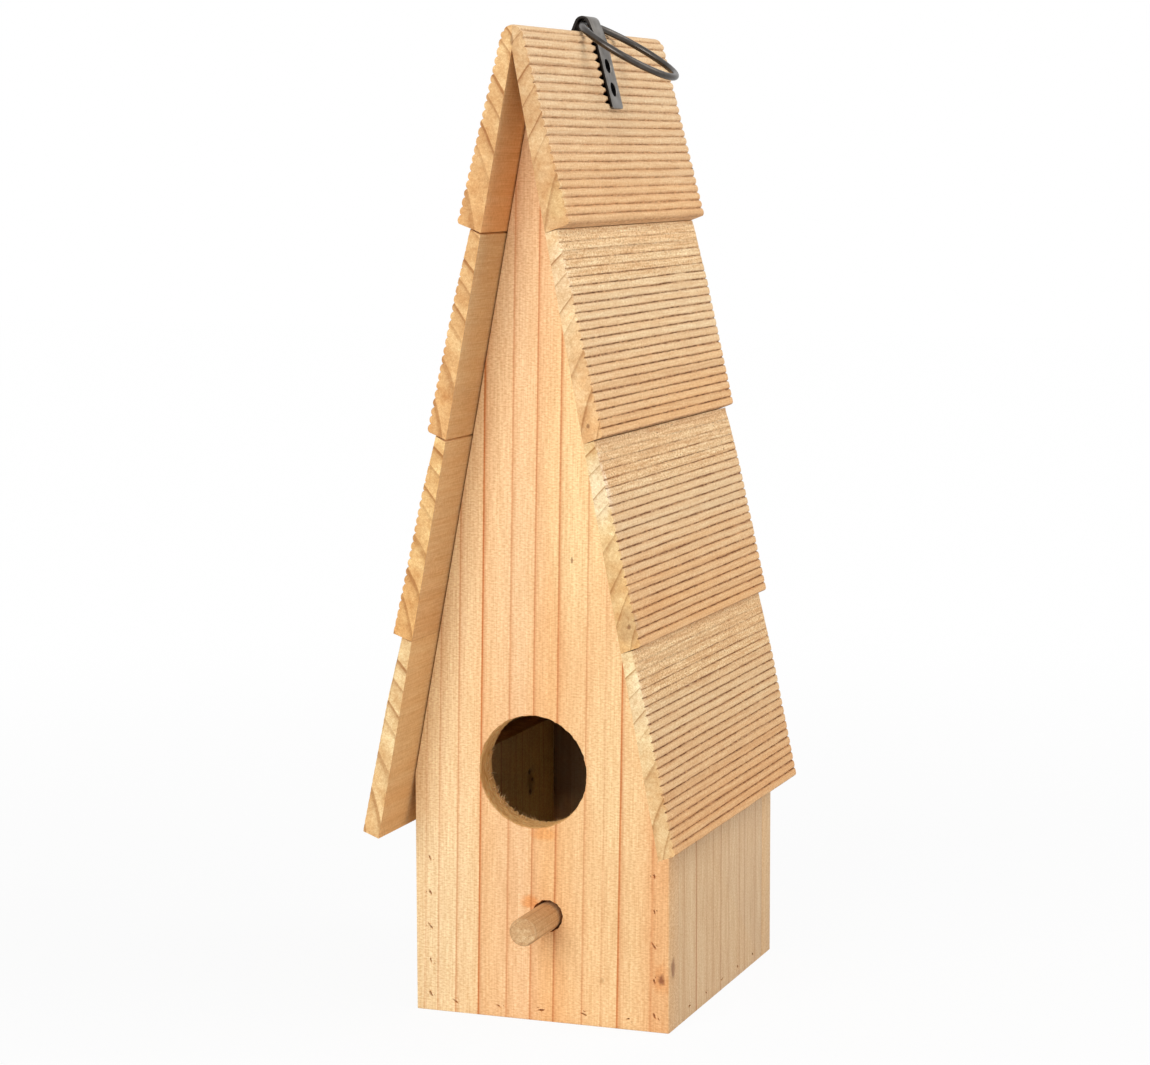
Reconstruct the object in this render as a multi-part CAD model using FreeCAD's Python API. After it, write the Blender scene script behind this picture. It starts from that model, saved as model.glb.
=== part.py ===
import FreeCAD, Part
import math
import os
from enum import Enum

# Bird nest box in raw softwood. Five-sided front and back panels, two side walls and a floor make
# the box. A steep roof of four stepped, ribbed boards a side stands on the panels' sloping edges.
# A perch sits below the entrance, and a steel strap over the ridge holds a ring to hang it by.
# Millimetres. +Z is up, +X is to the right as seen from the entrance, +Y is to the back.
# The origin is on the ground, in the middle of the roof's width and of its length.

Vector = FreeCAD.Vector

# Box
panel_width = 96.0              # front and back panels, side to side
box_depth = 122.0               # front face to back face
panel_thickness = 11.0          # front and back panels
wall_thickness = 11.0           # side walls
floor_thickness = 8.0
knee_height = 88.5              # where the panels' edges turn in under the roof

# Entrance and perch
entrance_radius = 20.0
entrance_height = 90.0
entrance_offset = -2.8          # drilled a little left of the middle
perch_radius = 5.0
perch_reach = 23.2              # out of the front panel
perch_height = 38.3
perch_offset = 2.3
perch_end_chamfer = 0.6
perch_hole_clearance = 0.4      # the hole is drilled wider than the dowel
perch_seat_gap = 0.05           # left under the dowel where it lies in its hole

# Roof
roof_angle = 10.75              # degrees, from the vertical
front_overhang = 23.5
back_overhang = 1.0
top_tier_length = 62.6          # along the inner face, down from the inner apex
eave_reach = 21.6               # lowest board past the panels' knees, along the slope
tier_gap = 0.4                  # open joint between two boards of a side
tiers_per_side = 4
top_tier_butt = 9.6             # thickness at the lower edge of the top board
tier_butt = 7.8                 # the same, boards in between
eave_butt = 6.7                 # the same, lowest board
tier_thin_edge = 4.0            # thickness at the upper edge of the lower boards
butt_rake = 9.0                 # degrees, the lower edge rises outwards from square
thin_edge_rake = 6.0            # degrees, the upper edge rises outwards from square
ridge_rise = 8.1                # ridge top above the inner apex
ridge_radius = 4.7
rib_pitch = 3.05
rib_depth = 0.9
groove_mouth = 1.2              # width of the grooves between flat-topped ribs
sawn_depth = 1.3                # how far the saw took the ribs off at a lower board's upper edge
sawn_length = 24.0              # over which that saw cut runs out

# Hanger
strap_width = 11.0
strap_thickness = 1.0
strap_leg = 23.5                # straight run of each leg, below the ridge's shoulder
strap_corner_radius = 1.2
strap_seat_gap = 0.1            # strap to the tops of the ribs
strap_fillet_radius = 1.6       # bend at the foot of the loop, on the strap's middle line
hole_margin = 5.8               # last hole to the end of the leg
hole_spacing = 8.6
holes_per_leg = 2
screw_hole_radius = 1.6
countersink_radius = 2.8
screw_shank_radius = 1.4
screw_length = 5.6
screw_point = 1.6
screw_head_clearance = 0.1
ring_radius = 18.8              # middle of the wire
ring_wire_radius = 1.25
loop_rise = 2.55                # middle of the loop above the ridge
loop_clearance = 0.6            # round the wire at every angle of the ring
ring_rest_gap = 0.3             # ring to the ridge's shoulder, hanging down on one side

# Brads: flat wire nails
brad_width = 1.3
brad_depth = 1.0
brad_point = 1.2
brad_proud = 0.1
brad_length = 22.0
roof_brad_length = 15.0
wall_brads = 5                  # up each edge of a panel
wall_brad_low = 6.0
wall_brad_high = 56.0
floor_brads = 5                 # along each edge of the floor
panel_row_margin = 4.3          # from a side wall to the first brad along a panel's foot
wall_row_margin = 12.0          # from a panel to the first brad along a side wall's foot

# Derived places
roof_turn = math.radians(roof_angle)
half_width = panel_width / 2
roof_length = front_overhang + box_depth + back_overhang
roof_front = -roof_length / 2
front_face = roof_front + front_overhang
back_face = front_face + box_depth
apex_height = knee_height + half_width / math.tan(roof_turn)
ridge_height = apex_height + ridge_rise
slope_length = half_width / math.sin(roof_turn)
lower_tiers = tiers_per_side - 1
tier_length = (slope_length + eave_reach - top_tier_length) / lower_tiers - tier_gap
ridge_centre = Vector(0, 0, ridge_height - ridge_radius)
loop_centre = Vector(0, 0, ridge_height + loop_rise)
screw_head_radius = countersink_radius - 2 * screw_head_clearance
screw_head_height = screw_head_radius - screw_shank_radius
butts = [top_tier_butt] + [tier_butt] * (lower_tiers - 1) + [eave_butt]


def slope_point(along, off):
    """Point on the right-hand roof, along the slope from the inner apex and off the inner face."""
    x = along * math.sin(roof_turn) + off * math.cos(roof_turn)
    z = apex_height - along * math.cos(roof_turn) + off * math.sin(roof_turn)
    return Vector(x, 0, z)


def heading(direction):
    """Angle of a direction in the plane of X and Z, up from +X."""
    return math.atan2(direction.z, direction.x)


def way(angle):
    """Direction in the plane of X and Z at an angle up from +X."""
    return Vector(math.cos(angle), 0, math.sin(angle))


def mirrored(shape):
    """The same piece on the other side of the box."""
    return shape.mirror(Vector(0, 0, 0), Vector(1, 0, 0))


def line(start, end):
    """Straight edge."""
    return Part.LineSegment(start, end).toShape()


def arc(centre, radius, start_way, end_way):
    """The shorter arc round a centre between two directions."""
    first = Vector(start_way).normalize()
    last = Vector(end_way).normalize()
    middle = (first + last).normalize()
    points = [centre + way * radius for way in (first, middle, last)]
    return Part.Arc(*points).toShape()


def plate(points, depth):
    """Flat outline drawn in a plane of constant Y, pushed back along +Y."""
    outline = Part.makePolygon(points + points[:1])
    return Part.Face(outline).extrude(Vector(0, depth, 0))


def block(x, y, z):
    """Rectangular board between two limits on each axis."""
    size = [limits[1] - limits[0] for limits in (x, y, z)]
    return Part.makeBox(*size, Vector(x[0], y[0], z[0]))


# Box of boards

def gable_panel(face):
    """Five-sided panel whose sloping edges carry the roof boards."""
    outline = [
        Vector(-half_width, face, 0),
        Vector(half_width, face, 0),
        Vector(half_width, face, knee_height),
        Vector(0, face, apex_height),
        Vector(-half_width, face, knee_height),
    ]
    return plate(outline, panel_thickness)


def front_hole(radius, offset, height):
    """Drill through the front panel."""
    start = Vector(offset, front_face - panel_thickness, height)
    return Part.makeCylinder(radius, 3 * panel_thickness, start, Vector(0, 1, 0))


def front_panel():
    """Front panel with the entrance and the perch's hole."""
    panel = gable_panel(front_face)
    panel = panel.cut(front_hole(entrance_radius, entrance_offset, entrance_height))
    return panel.cut(front_hole(perch_radius + perch_hole_clearance, perch_offset, perch_height))


def back_panel():
    """Plain back panel."""
    return gable_panel(back_face - panel_thickness)


def right_side_wall():
    """Wall held between the two panels, up to their knees."""
    depth = (front_face + panel_thickness, back_face - panel_thickness)
    return block((half_width - wall_thickness, half_width), depth, (0, knee_height))


def floor_board():
    """Floor inside the four walls, flush with their lower edges."""
    width = half_width - wall_thickness
    depth = (front_face + panel_thickness, back_face - panel_thickness)
    return block((-width, width), depth, (0, floor_thickness))


def perch_dowel():
    """Dowel glued in its hole, lying on the hole's lower left, with a broken edge at its end."""
    slack = (perch_hole_clearance - perch_seat_gap) / math.sqrt(2)
    end = Vector(perch_offset - slack, front_face - perch_reach, perch_height - slack)
    length = perch_reach + panel_thickness
    dowel = Part.makeCylinder(perch_radius, length, end, Vector(0, 1, 0))
    rim = [edge for edge in dowel.Edges if edge.BoundBox.YMax < front_face]
    return dowel.makeChamfer(perch_end_chamfer, rim)


# Roof

class RibForm(Enum):
    """How the outer face of a roof board is planed."""

    ROUND = "half-round ribs side by side"
    FLAT = "flat-topped ribs with narrow grooves"
    PLAIN = "no ribs"


class RoofBoard:
    """One wedge-sawn board of the right-hand roof, its ribs, and where its crown line runs."""

    def __init__(self, tier, rib_form):
        self.is_top = tier == 0
        self.rib_form = rib_form
        lower_start = top_tier_length + (tier - 1) * (tier_length + tier_gap) + tier_gap
        self.upper = 0 if self.is_top else lower_start
        self.lower = top_tier_length if self.is_top else lower_start + tier_length
        self.butt = butts[tier]
        rake = self.butt * math.tan(math.radians(butt_rake))
        self.crown_foot = slope_point(self.lower - rake, self.butt)
        self.crown_head = self.ridge_touch() if self.is_top else self.thin_corner()
        run = self.crown_head - self.crown_foot
        self.crown_length = run.Length
        self.up = run.normalize()
        self.out = Vector(self.up.z, 0, -self.up.x)
        self.set_ribs()

    def set_ribs(self):
        """Whole ribs up to a lower board's upper edge, or up to a last rib that straddles the ridge."""
        if self.is_top:
            outer_length = self.crown_length + ridge_radius * (math.pi / 2 - heading(self.out))
            self.rib_count = round(outer_length / rib_pitch - 0.5)
            self.pitch = outer_length / (self.rib_count + 0.5)
        else:
            self.rib_count = math.floor(self.crown_length / rib_pitch - 0.5)
            self.pitch = rib_pitch

    def thin_corner(self):
        """Upper end of the crown line on a lower board, before the saw cut."""
        off = tier_thin_edge + sawn_depth
        return slope_point(self.upper - off * math.tan(math.radians(thin_edge_rake)), off)

    def ridge_touch(self):
        """Where the top board's crown line touches the rounded ridge."""
        reach = self.crown_foot - ridge_centre
        turn = math.acos(ridge_radius / reach.Length)
        return ridge_centre + way(heading(reach) + turn) * ridge_radius

    def outward(self, distance):
        """Direction out of the outer face, measured up from the lower edge and on round the ridge."""
        past_touch = max(0, distance - self.crown_length)
        return way(heading(self.out) + past_touch / ridge_radius)

    def crown(self, distance):
        """Point on the crown line, measured up from the lower edge and on round the ridge."""
        if self.is_top and distance > self.crown_length:
            return ridge_centre + self.outward(distance) * ridge_radius
        return self.crown_foot + self.up * distance

    def groove(self, number):
        """Bottom of a groove, counted up from the lower edge."""
        distance = number * self.pitch
        return self.crown(distance) - self.outward(distance) * rib_depth

    def rib(self, number):
        """Edge of a half-round rib between two grooves."""
        top = self.crown((number + 0.5) * self.pitch)
        return Part.Arc(self.groove(number), top, self.groove(number + 1)).toShape()

    def ridge_rib(self):
        """Edge of the half of the ridge's rib that belongs to this side."""
        foot = self.groove(self.rib_count)
        drop = ridge_height - foot.z
        radius = (foot.x ** 2 + drop ** 2) / (2 * drop)
        centre = Vector(0, 0, ridge_height - radius)
        return arc(centre, radius, foot - centre, Vector(0, 0, 1))

    def ribbed_face(self):
        """Edges of an outer face with half-round ribs, up from the lower edge."""
        edges = [self.rib(number) for number in range(self.rib_count)]
        if self.is_top:
            return edges + [self.ridge_rib()]
        last_groove = self.groove(self.rib_count)
        run_out = self.crown((self.rib_count + 0.5) * self.pitch)
        return edges + [line(last_groove, run_out), line(run_out, self.crown_head)]

    def grooved_face(self):
        """Edges of a flat outer face, with narrow grooves unless it is plain, up from the lower edge."""
        points = [self.crown_foot]
        grooves = range(1, self.rib_count + 1) if self.rib_form is RibForm.FLAT else ()
        for number in grooves:
            middle = number * self.pitch
            points.append(self.crown(middle - groove_mouth / 2))
            points.append(self.groove(number))
            points.append(self.crown(middle + groove_mouth / 2))
        points.append(self.crown_head)
        return [line(start, end) for start, end in zip(points, points[1:])]

    def outline(self):
        """Edges of the board's end, round from the top of the outer face."""
        inner_head = slope_point(self.upper, 0)
        inner_foot = slope_point(self.lower, 0)
        outer = self.ribbed_face() if self.rib_form is RibForm.ROUND else self.grooved_face()
        outer_foot = outer[0].Vertexes[0].Point
        outer_head = outer[-1].Vertexes[-1].Point
        under = [line(outer_head, inner_head), line(inner_head, inner_foot), line(inner_foot, outer_foot)]
        return under + outer

    def saw_cut(self):
        """Wedge that takes the ribs off towards the upper edge of a lower board."""
        run_out = self.crown_head - self.up * sawn_length
        start = self.crown_head - self.out * sawn_depth
        beyond = start + (start - run_out).normalize() * tier_thin_edge
        lift = self.out * tier_butt
        outline = [run_out, beyond, beyond + lift, run_out + lift]
        return plate(outline, roof_length)

    def solid(self):
        """The board, full length."""
        end = Part.Face(Part.Wire(self.outline()))
        board = end.extrude(Vector(0, roof_length, 0))
        if not self.is_top:
            board = board.cut(self.saw_cut())
        return board.translated(Vector(0, roof_front, 0))

    def nail_seat(self, share):
        """Place of a brad's head, a share of the way up the outer face: in a groove where it has any."""
        if self.rib_form is RibForm.PLAIN:
            return self.crown(self.crown_length * share)
        return self.groove(round(self.rib_count * share))


right_rib_forms = [RibForm.ROUND] + [RibForm.FLAT] * lower_tiers
left_rib_forms = [RibForm.ROUND] * lower_tiers + [RibForm.PLAIN]
right_boards = [RoofBoard(tier, form) for tier, form in enumerate(right_rib_forms)]
left_boards = [RoofBoard(tier, form) for tier, form in enumerate(left_rib_forms)]
top_board = right_boards[0]


# Hanger

ring_bow = ring_radius - math.sqrt(ring_radius ** 2 - (strap_width / 2) ** 2)
loop_inner_radius = ring_wire_radius + ring_bow / 2 + loop_clearance
shoulder_bend = ridge_radius + strap_seat_gap + strap_thickness / 2
loop_bend = loop_inner_radius + strap_thickness / 2


def foot_bend_centre():
    """Centre of the hollow bend between the shoulder and the loop, on the right."""
    below = shoulder_bend + strap_fillet_radius
    above = loop_bend + strap_fillet_radius
    apart = loop_centre.z - ridge_centre.z
    rise = (apart ** 2 + below ** 2 - above ** 2) / (2 * apart)
    return ridge_centre + Vector(math.sqrt(below ** 2 - rise ** 2), 0, rise)


def strap_side(offset):
    """Edges of one face of the strap from the right leg's end to the loop's top."""
    hollow = foot_bend_centre()
    to_shoulder = ridge_centre - hollow
    to_loop = loop_centre - hollow
    shoulder = ridge_centre + top_board.out * (shoulder_bend + offset)
    edges = [line(shoulder - top_board.up * strap_leg, shoulder)]
    edges.append(arc(ridge_centre, shoulder_bend + offset, top_board.out, -to_shoulder))
    edges.append(arc(hollow, strap_fillet_radius - offset, to_shoulder, to_loop))
    edges.append(arc(loop_centre, loop_bend + offset, -to_loop, Vector(0, 0, 1)))
    return edges


def strap_half():
    """Right half of the bare strap: leg, shoulder, foot of the loop and half the loop."""
    outer = strap_side(strap_thickness / 2)
    inner = strap_side(-strap_thickness / 2)
    leg_end = line(outer[0].Vertexes[0].Point, inner[0].Vertexes[0].Point)
    loop_cut = line(outer[-1].Vertexes[-1].Point, inner[-1].Vertexes[-1].Point)
    outline = Part.Wire(Part.__sortEdges__(outer + inner + [leg_end, loop_cut]))
    half = Part.Face(outline).extrude(Vector(0, strap_width, 0))
    corners = [edge for edge in half.Edges if is_leg_corner(edge)]
    half = half.makeFillet(strap_corner_radius, corners)
    return half.translated(Vector(0, -strap_width / 2, 0))


def is_leg_corner(edge):
    """True for the two short edges at the end of the leg."""
    across = abs(edge.Length - strap_thickness) < 1e-6
    return across and edge.BoundBox.ZMax < ridge_centre.z


def leg_holes():
    """Middle of each hole of the right leg, on the strap's outer face."""
    start = ridge_centre + top_board.out * (shoulder_bend + strap_thickness / 2)
    drops = [strap_leg - hole_margin - number * hole_spacing for number in range(holes_per_leg)]
    return [start - top_board.up * drop for drop in drops]


def hanger_strap():
    """Steel strap in one piece, with countersunk holes in both legs."""
    half = strap_half()
    into = -top_board.out
    for place in leg_holes():
        drill = Part.makeCylinder(screw_hole_radius, 2 * strap_thickness, place, into)
        sink_depth = countersink_radius - screw_hole_radius
        sink = Part.makeCone(countersink_radius, screw_hole_radius, sink_depth, place, into)
        half = half.cut(drill).cut(sink)
    return half.fuse(mirrored(half)).removeSplitter()


def strap_screw(place):
    """Small countersunk wood screw, driven square to the slope."""
    profile = [
        Vector(0, 0, 0),
        Vector(screw_head_radius, 0, 0),
        Vector(screw_shank_radius, 0, -screw_head_height),
        Vector(screw_shank_radius, 0, screw_point - screw_length),
        Vector(0, 0, -screw_length),
    ]
    outline = Part.Face(Part.makePolygon(profile + profile[:1]))
    screw = outline.revolve(Vector(0, 0, 0), Vector(0, 0, 1), 360)
    turn = FreeCAD.Rotation(Vector(0, 0, 1), top_board.out)
    sunk = place - top_board.out * screw_head_clearance
    screw.Placement = FreeCAD.Placement(sunk, turn)
    return screw


def strap_screws():
    """Screws of both legs."""
    right = [strap_screw(place) for place in leg_holes()]
    return Part.makeCompound(right + [mirrored(screw) for screw in right])


def ring_rest_angle():
    """Degrees below level at which the ring comes to lie on the ridge's shoulder."""
    touch = ridge_radius + ring_wire_radius + ring_rest_gap
    return math.degrees(math.acos(touch / (ridge_radius + loop_rise)))


def hanging_ring():
    """Wire ring through the strap's loop, hanging down to the right."""
    ring = Part.makeTorus(ring_radius, ring_wire_radius)
    ring.translate(Vector(ring_radius - ring_bow / 2, 0, 0))
    ring.rotate(Vector(0, 0, 0), Vector(0, 1, 0), ring_rest_angle())
    return ring.translated(loop_centre)


# Brads

def brad(head, into, across, length):
    """Flat wire brad with a chisel point, from the middle of its head into the wood."""
    side = across * (brad_width / 2)
    neck = head + into * (length - brad_point)
    outline = [head - side, head + side, neck + side, head + into * length, neck - side]
    thick = into.cross(across) * brad_depth
    nail = Part.Face(Part.makePolygon(outline + outline[:1])).extrude(thick)
    return nail.translated(thick * -0.5)


def spread(first, last, count):
    """Evenly spaced places from first to last."""
    return [first + (last - first) * number / (count - 1) for number in range(count)]


def panel_wall_brads(face, into):
    """Brads through a panel into the ends of both side walls."""
    column = half_width - wall_thickness / 2
    start = face - into.y * brad_proud
    heights = spread(wall_brad_low, wall_brad_high, wall_brads)
    heads = [Vector(x, start, z) for x in (-column, column) for z in heights]
    return Part.makeCompound([brad(head, into, Vector(0, 0, 1), brad_length) for head in heads])


def panel_floor_brads(face, into):
    """Brads through a panel into the floor's edge."""
    reach = half_width - wall_thickness - panel_row_margin
    start = face - into.y * brad_proud
    heads = [Vector(x, start, floor_thickness / 2) for x in spread(-reach, reach, floor_brads)]
    return Part.makeCompound([brad(head, into, Vector(1, 0, 0), brad_length) for head in heads])


def wall_floor_brads():
    """Brads through both side walls into the floor's edges."""
    first = front_face + panel_thickness + wall_row_margin
    last = back_face - panel_thickness - wall_row_margin
    start = half_width + brad_proud
    heads = [Vector(start, y, floor_thickness / 2) for y in spread(first, last, floor_brads)]
    into = Vector(-1, 0, 0)
    right = [brad(head, into, Vector(0, 1, 0), brad_length) for head in heads]
    return Part.makeCompound(right + [mirrored(nail) for nail in right])


def roof_brads(boards):
    """Brads through some right-hand boards into the edges of both panels."""
    rows = (front_face + panel_thickness / 2, back_face - panel_thickness / 2)
    nails = []
    for board in boards:
        shares = (1 / 4,) if board.is_top else (1 / 4, 2 / 3)
        for share in shares:
            for y in rows:
                head = board.nail_seat(share) + board.out * brad_proud + Vector(0, y, 0)
                nails.append(brad(head, -board.out, Vector(0, 1, 0), roof_brad_length))
    return Part.makeCompound(nails)


def pieces():
    """Every node of the nest box by name."""
    wall = right_side_wall()
    found = {
        "front_panel": front_panel(),
        "back_panel": back_panel(),
        "left_side_wall": mirrored(wall),
        "right_side_wall": wall,
        "floor_board": floor_board(),
        "perch_dowel": perch_dowel(),
        "hanger_strap": hanger_strap(),
        "strap_screws": strap_screws(),
        "hanging_ring": hanging_ring(),
        "front_wall_brads": panel_wall_brads(front_face, Vector(0, 1, 0)),
        "front_floor_brads": panel_floor_brads(front_face, Vector(0, 1, 0)),
        "back_wall_brads": panel_wall_brads(back_face, Vector(0, -1, 0)),
        "back_floor_brads": panel_floor_brads(back_face, Vector(0, -1, 0)),
        "side_floor_brads": wall_floor_brads(),
        "left_roof_brads": mirrored(roof_brads(left_boards)),
        "right_roof_brads": roof_brads(right_boards),
    }
    for number, (right, left) in enumerate(zip(right_boards, left_boards), start=1):
        found[f"right_roof_board_{number}"] = right.solid()
        found[f"left_roof_board_{number}"] = mirrored(left.solid())
    return found


os.makedirs("parts", exist_ok=True)
for name, shape in pieces().items():
    shape.exportStep(f"parts/{name}.step")
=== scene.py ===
"""Looks of a bird nest box in raw softwood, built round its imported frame.

Everything is in metres in the frame's own axes: +Z up, +X to the right as seen from the entrance,
+Y to the back. Sizes held by the classes are millimetres, as a maker would read them.
"""

import logging
import math
import random
from collections.abc import Callable, Iterator
from contextlib import contextmanager
from dataclasses import dataclass, field, replace
from enum import Enum

import bpy
from mathutils import Matrix, Vector, noise


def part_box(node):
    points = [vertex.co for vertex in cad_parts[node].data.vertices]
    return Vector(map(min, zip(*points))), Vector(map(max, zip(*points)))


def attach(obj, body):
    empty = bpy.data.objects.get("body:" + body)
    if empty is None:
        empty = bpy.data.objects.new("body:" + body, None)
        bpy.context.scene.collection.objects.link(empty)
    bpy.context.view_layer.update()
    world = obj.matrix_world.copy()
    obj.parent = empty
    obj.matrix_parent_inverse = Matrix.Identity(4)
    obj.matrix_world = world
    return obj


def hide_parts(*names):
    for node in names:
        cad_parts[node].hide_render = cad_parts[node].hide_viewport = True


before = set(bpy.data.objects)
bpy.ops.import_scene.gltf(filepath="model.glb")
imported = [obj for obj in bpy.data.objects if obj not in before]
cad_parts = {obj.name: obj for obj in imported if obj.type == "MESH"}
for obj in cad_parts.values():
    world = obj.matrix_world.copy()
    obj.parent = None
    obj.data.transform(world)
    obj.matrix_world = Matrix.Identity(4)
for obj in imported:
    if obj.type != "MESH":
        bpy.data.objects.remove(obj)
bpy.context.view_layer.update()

MM = 0.001
TINY = 1e-6
LOG = logging.getLogger("nest_box")

# How much red, green and blue swing where wood turns browner or paler
WOOD_SWING = (0.5, 0.85, 1.2)
# Cut across its fibres wood can look paler than along them, so an end's tone may also lift the colour.
END_GAIN = 1.3
# Wood that a punch has bruised
PUNCHED_BROWN = "#8a4a26"
# Depths below a face between which a punched dent lies, mm
DENT_REACH = (0.15, 1.5)
# Height at which the edges of the front and back panels turn in, mm
KNEE_HEIGHT = 88.5
# Distances in mm within which a point counts as lying on a face or at an edge
ON_FACE = 1e-3
AT_EDGE = 0.01

Colour = tuple[float, float, float, float]
Place = tuple[float, float, float]
Socket = bpy.types.NodeSocket
Piece = bpy.types.Object


class Side(Enum):
    """Which half of the roof a board lies on."""

    LEFT = -1
    RIGHT = 1


class Grain(Enum):
    """Axis that the fibres of a board run along, with the turn about X that lays it on Z."""

    UP = 0.0
    BACK = math.pi / 2


class Pick(Enum):
    """Kind of mesh element to select, with the matching select mode."""

    EDGES = (False, True, False)
    FACES = (False, False, True)


# Shared helpers

def linear(colour: str) -> Colour:
    """Turns an sRGB colour into the linear one that shaders take.

    Args:
        colour: hash and six hex digits.

    Returns:
        Linear red, green and blue, and an alpha of one.
    """
    shares = [int(colour[start:start + 2], 16) / 255 for start in (1, 3, 5)]
    red, green, blue = [s / 12.92 if s <= 0.04045 else ((s + 0.055) / 1.055) ** 2.4 for s in shares]
    return red, green, blue, 1.0


def grey(value: float) -> Colour:
    """The grey of one linear value."""
    return value, value, value, 1.0


def take(*pieces: Piece) -> None:
    """Selects some pieces alone, with the first of them active.

    Args:
        *pieces: mesh objects.
    """
    bpy.ops.object.select_all(action="DESELECT")
    for piece in pieces:
        piece.select_set(True)
    bpy.context.view_layer.objects.active = pieces[0]


@contextmanager
def editing(piece: Piece) -> Iterator[None]:
    """Opens a piece in edit mode and leaves it again.

    Args:
        piece: mesh object to edit alone.
    """
    take(piece)
    bpy.ops.object.mode_set(mode="EDIT")
    yield
    bpy.ops.object.mode_set(mode="OBJECT")


def choose(piece: Piece, pick: Pick, test: Callable[[Vector, Vector], bool]) -> None:
    """Selects the elements of a mesh that pass a test, for the next edit.

    Args:
        piece: mesh object in object mode.
        pick: edges or faces.
        test: takes a face's middle and normal, or an edge's middle and direction.
    """
    mesh = piece.data
    for elements in (mesh.vertices, mesh.edges, mesh.polygons):
        elements.foreach_set("select", [False] * len(elements))
    bpy.context.tool_settings.mesh_select_mode = pick.value
    if pick is Pick.FACES:
        for face in mesh.polygons:
            face.select = test(face.center, face.normal)
    else:
        for edge in mesh.edges:
            start, end = (mesh.vertices[number].co for number in edge.vertices)
            edge.select = test((start + end) / 2, (end - start).normalized())


def divide(piece: Piece, cuts: int, test: Callable[[Vector, Vector], bool]) -> None:
    """Divides the edges of a mesh that pass a test.

    Args:
        piece: mesh object in object mode.
        cuts: new points on each edge.
        test: takes an edge's middle and direction.
    """
    choose(piece, Pick.EDGES, test)
    with editing(piece):
        bpy.ops.mesh.subdivide(number_cuts=cuts)


def wander(*place: float) -> float:
    """Smooth noise at a place, from -1 to 1."""
    return noise.noise(Vector(place))


def settle(name: str) -> Piece:
    """Names the object just made and puts its place and size into its mesh.

    Args:
        name: name of the piece.

    Returns:
        The piece, at the origin, unturned and unscaled.
    """
    piece = bpy.context.object
    piece.name = name
    piece.data.name = name
    bpy.ops.object.transform_apply(location=True, rotation=True, scale=True)
    return piece


def add_block(name: str, low: Vector, high: Vector) -> Piece:
    """Adds a cube stretched between two corners.

    Args:
        name: name of the piece.
        low: lowest corner, metres.
        high: highest corner, metres.

    Returns:
        The block.
    """
    bpy.ops.object.select_all(action="DESELECT")
    bpy.ops.mesh.primitive_cube_add(size=1, location=(low + high) / 2, scale=high - low)
    return settle(name)


def apply_modifier(piece: Piece, kind: str, **settings: object) -> None:
    """Adds a modifier to a piece and applies it.

    Args:
        piece: mesh object.
        kind: Blender's name of the modifier type.
        **settings: properties of the modifier.
    """
    modifier = piece.modifiers.new(kind.lower(), kind)
    for name, value in settings.items():
        setattr(modifier, name, value)
    bpy.context.view_layer.objects.active = piece
    bpy.ops.object.modifier_apply(modifier=modifier.name)


def ease(piece: Piece, width: float) -> None:
    """Takes the sharpness off every arris of a piece.

    Args:
        piece: mesh object.
        width: width of the eased edge, mm.
    """
    apply_modifier(
        piece, "BEVEL", width=width * MM, segments=2, limit_method="ANGLE",
        angle_limit=math.radians(40), use_clamp_overlap=True,
    )


def carve(piece: Piece, cutter: Piece) -> None:
    """Cuts one mesh out of another and removes the cutter.

    Args:
        piece: mesh object that keeps the hollow.
        cutter: mesh object that is taken away.
    """
    apply_modifier(piece, "BOOLEAN", operation="DIFFERENCE", solver="EXACT", object=cutter)
    bpy.data.objects.remove(cutter, do_unlink=True)


def join(pieces: list[Piece], name: str) -> Piece:
    """Joins several meshes into one object.

    Args:
        pieces: mesh objects.
        name: name of the joined piece.

    Returns:
        The joined piece.
    """
    take(*pieces)
    bpy.ops.object.join()
    return settle(name)


def copy_of(node: str, name: str) -> Piece:
    """Makes a free copy of a frame node's mesh, with its loose triangles merged.

    Args:
        node: name of the node.
        name: name of the copy.

    Returns:
        The copy.
    """
    piece = bpy.data.objects.new(name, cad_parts[node].data.copy())
    piece.data.name = name
    bpy.context.scene.collection.objects.link(piece)
    with editing(piece):
        bpy.ops.mesh.select_all(action="SELECT")
        bpy.ops.mesh.customdata_custom_splitnormals_clear()
        bpy.ops.mesh.remove_doubles(threshold=TINY)
        bpy.ops.mesh.dissolve_limited(angle_limit=math.radians(0.2))
    return piece


def islands(mesh: bpy.types.Mesh) -> list[list[int]]:
    """Groups a mesh's vertices by the separate shells that they belong to.

    Args:
        mesh: merged mesh.

    Returns:
        Vertex numbers of each shell.
    """
    owner = list(range(len(mesh.vertices)))

    def root(number: int) -> int:
        """The number that stands for a vertex's shell."""
        while owner[number] != number:
            owner[number] = owner[owner[number]]
            number = owner[number]
        return number

    for edge in mesh.edges:
        owner[root(edge.vertices[0])] = root(edge.vertices[1])
    groups: dict[int, list[int]] = {}
    for number in range(len(mesh.vertices)):
        groups.setdefault(root(number), []).append(number)
    return list(groups.values())


def dress(piece: Piece, material: bpy.types.Material, smooth: float = 35.0) -> None:
    """Gives a piece its one material and smooth shading between its arrises.

    Args:
        piece: mesh object.
        material: finish of the whole piece.
        smooth: largest angle between faces that are shaded as one, degrees.
    """
    piece.data.materials.clear()
    piece.data.materials.append(material)
    take(piece)
    bpy.ops.object.shade_smooth_by_angle(angle=math.radians(smooth))


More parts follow.
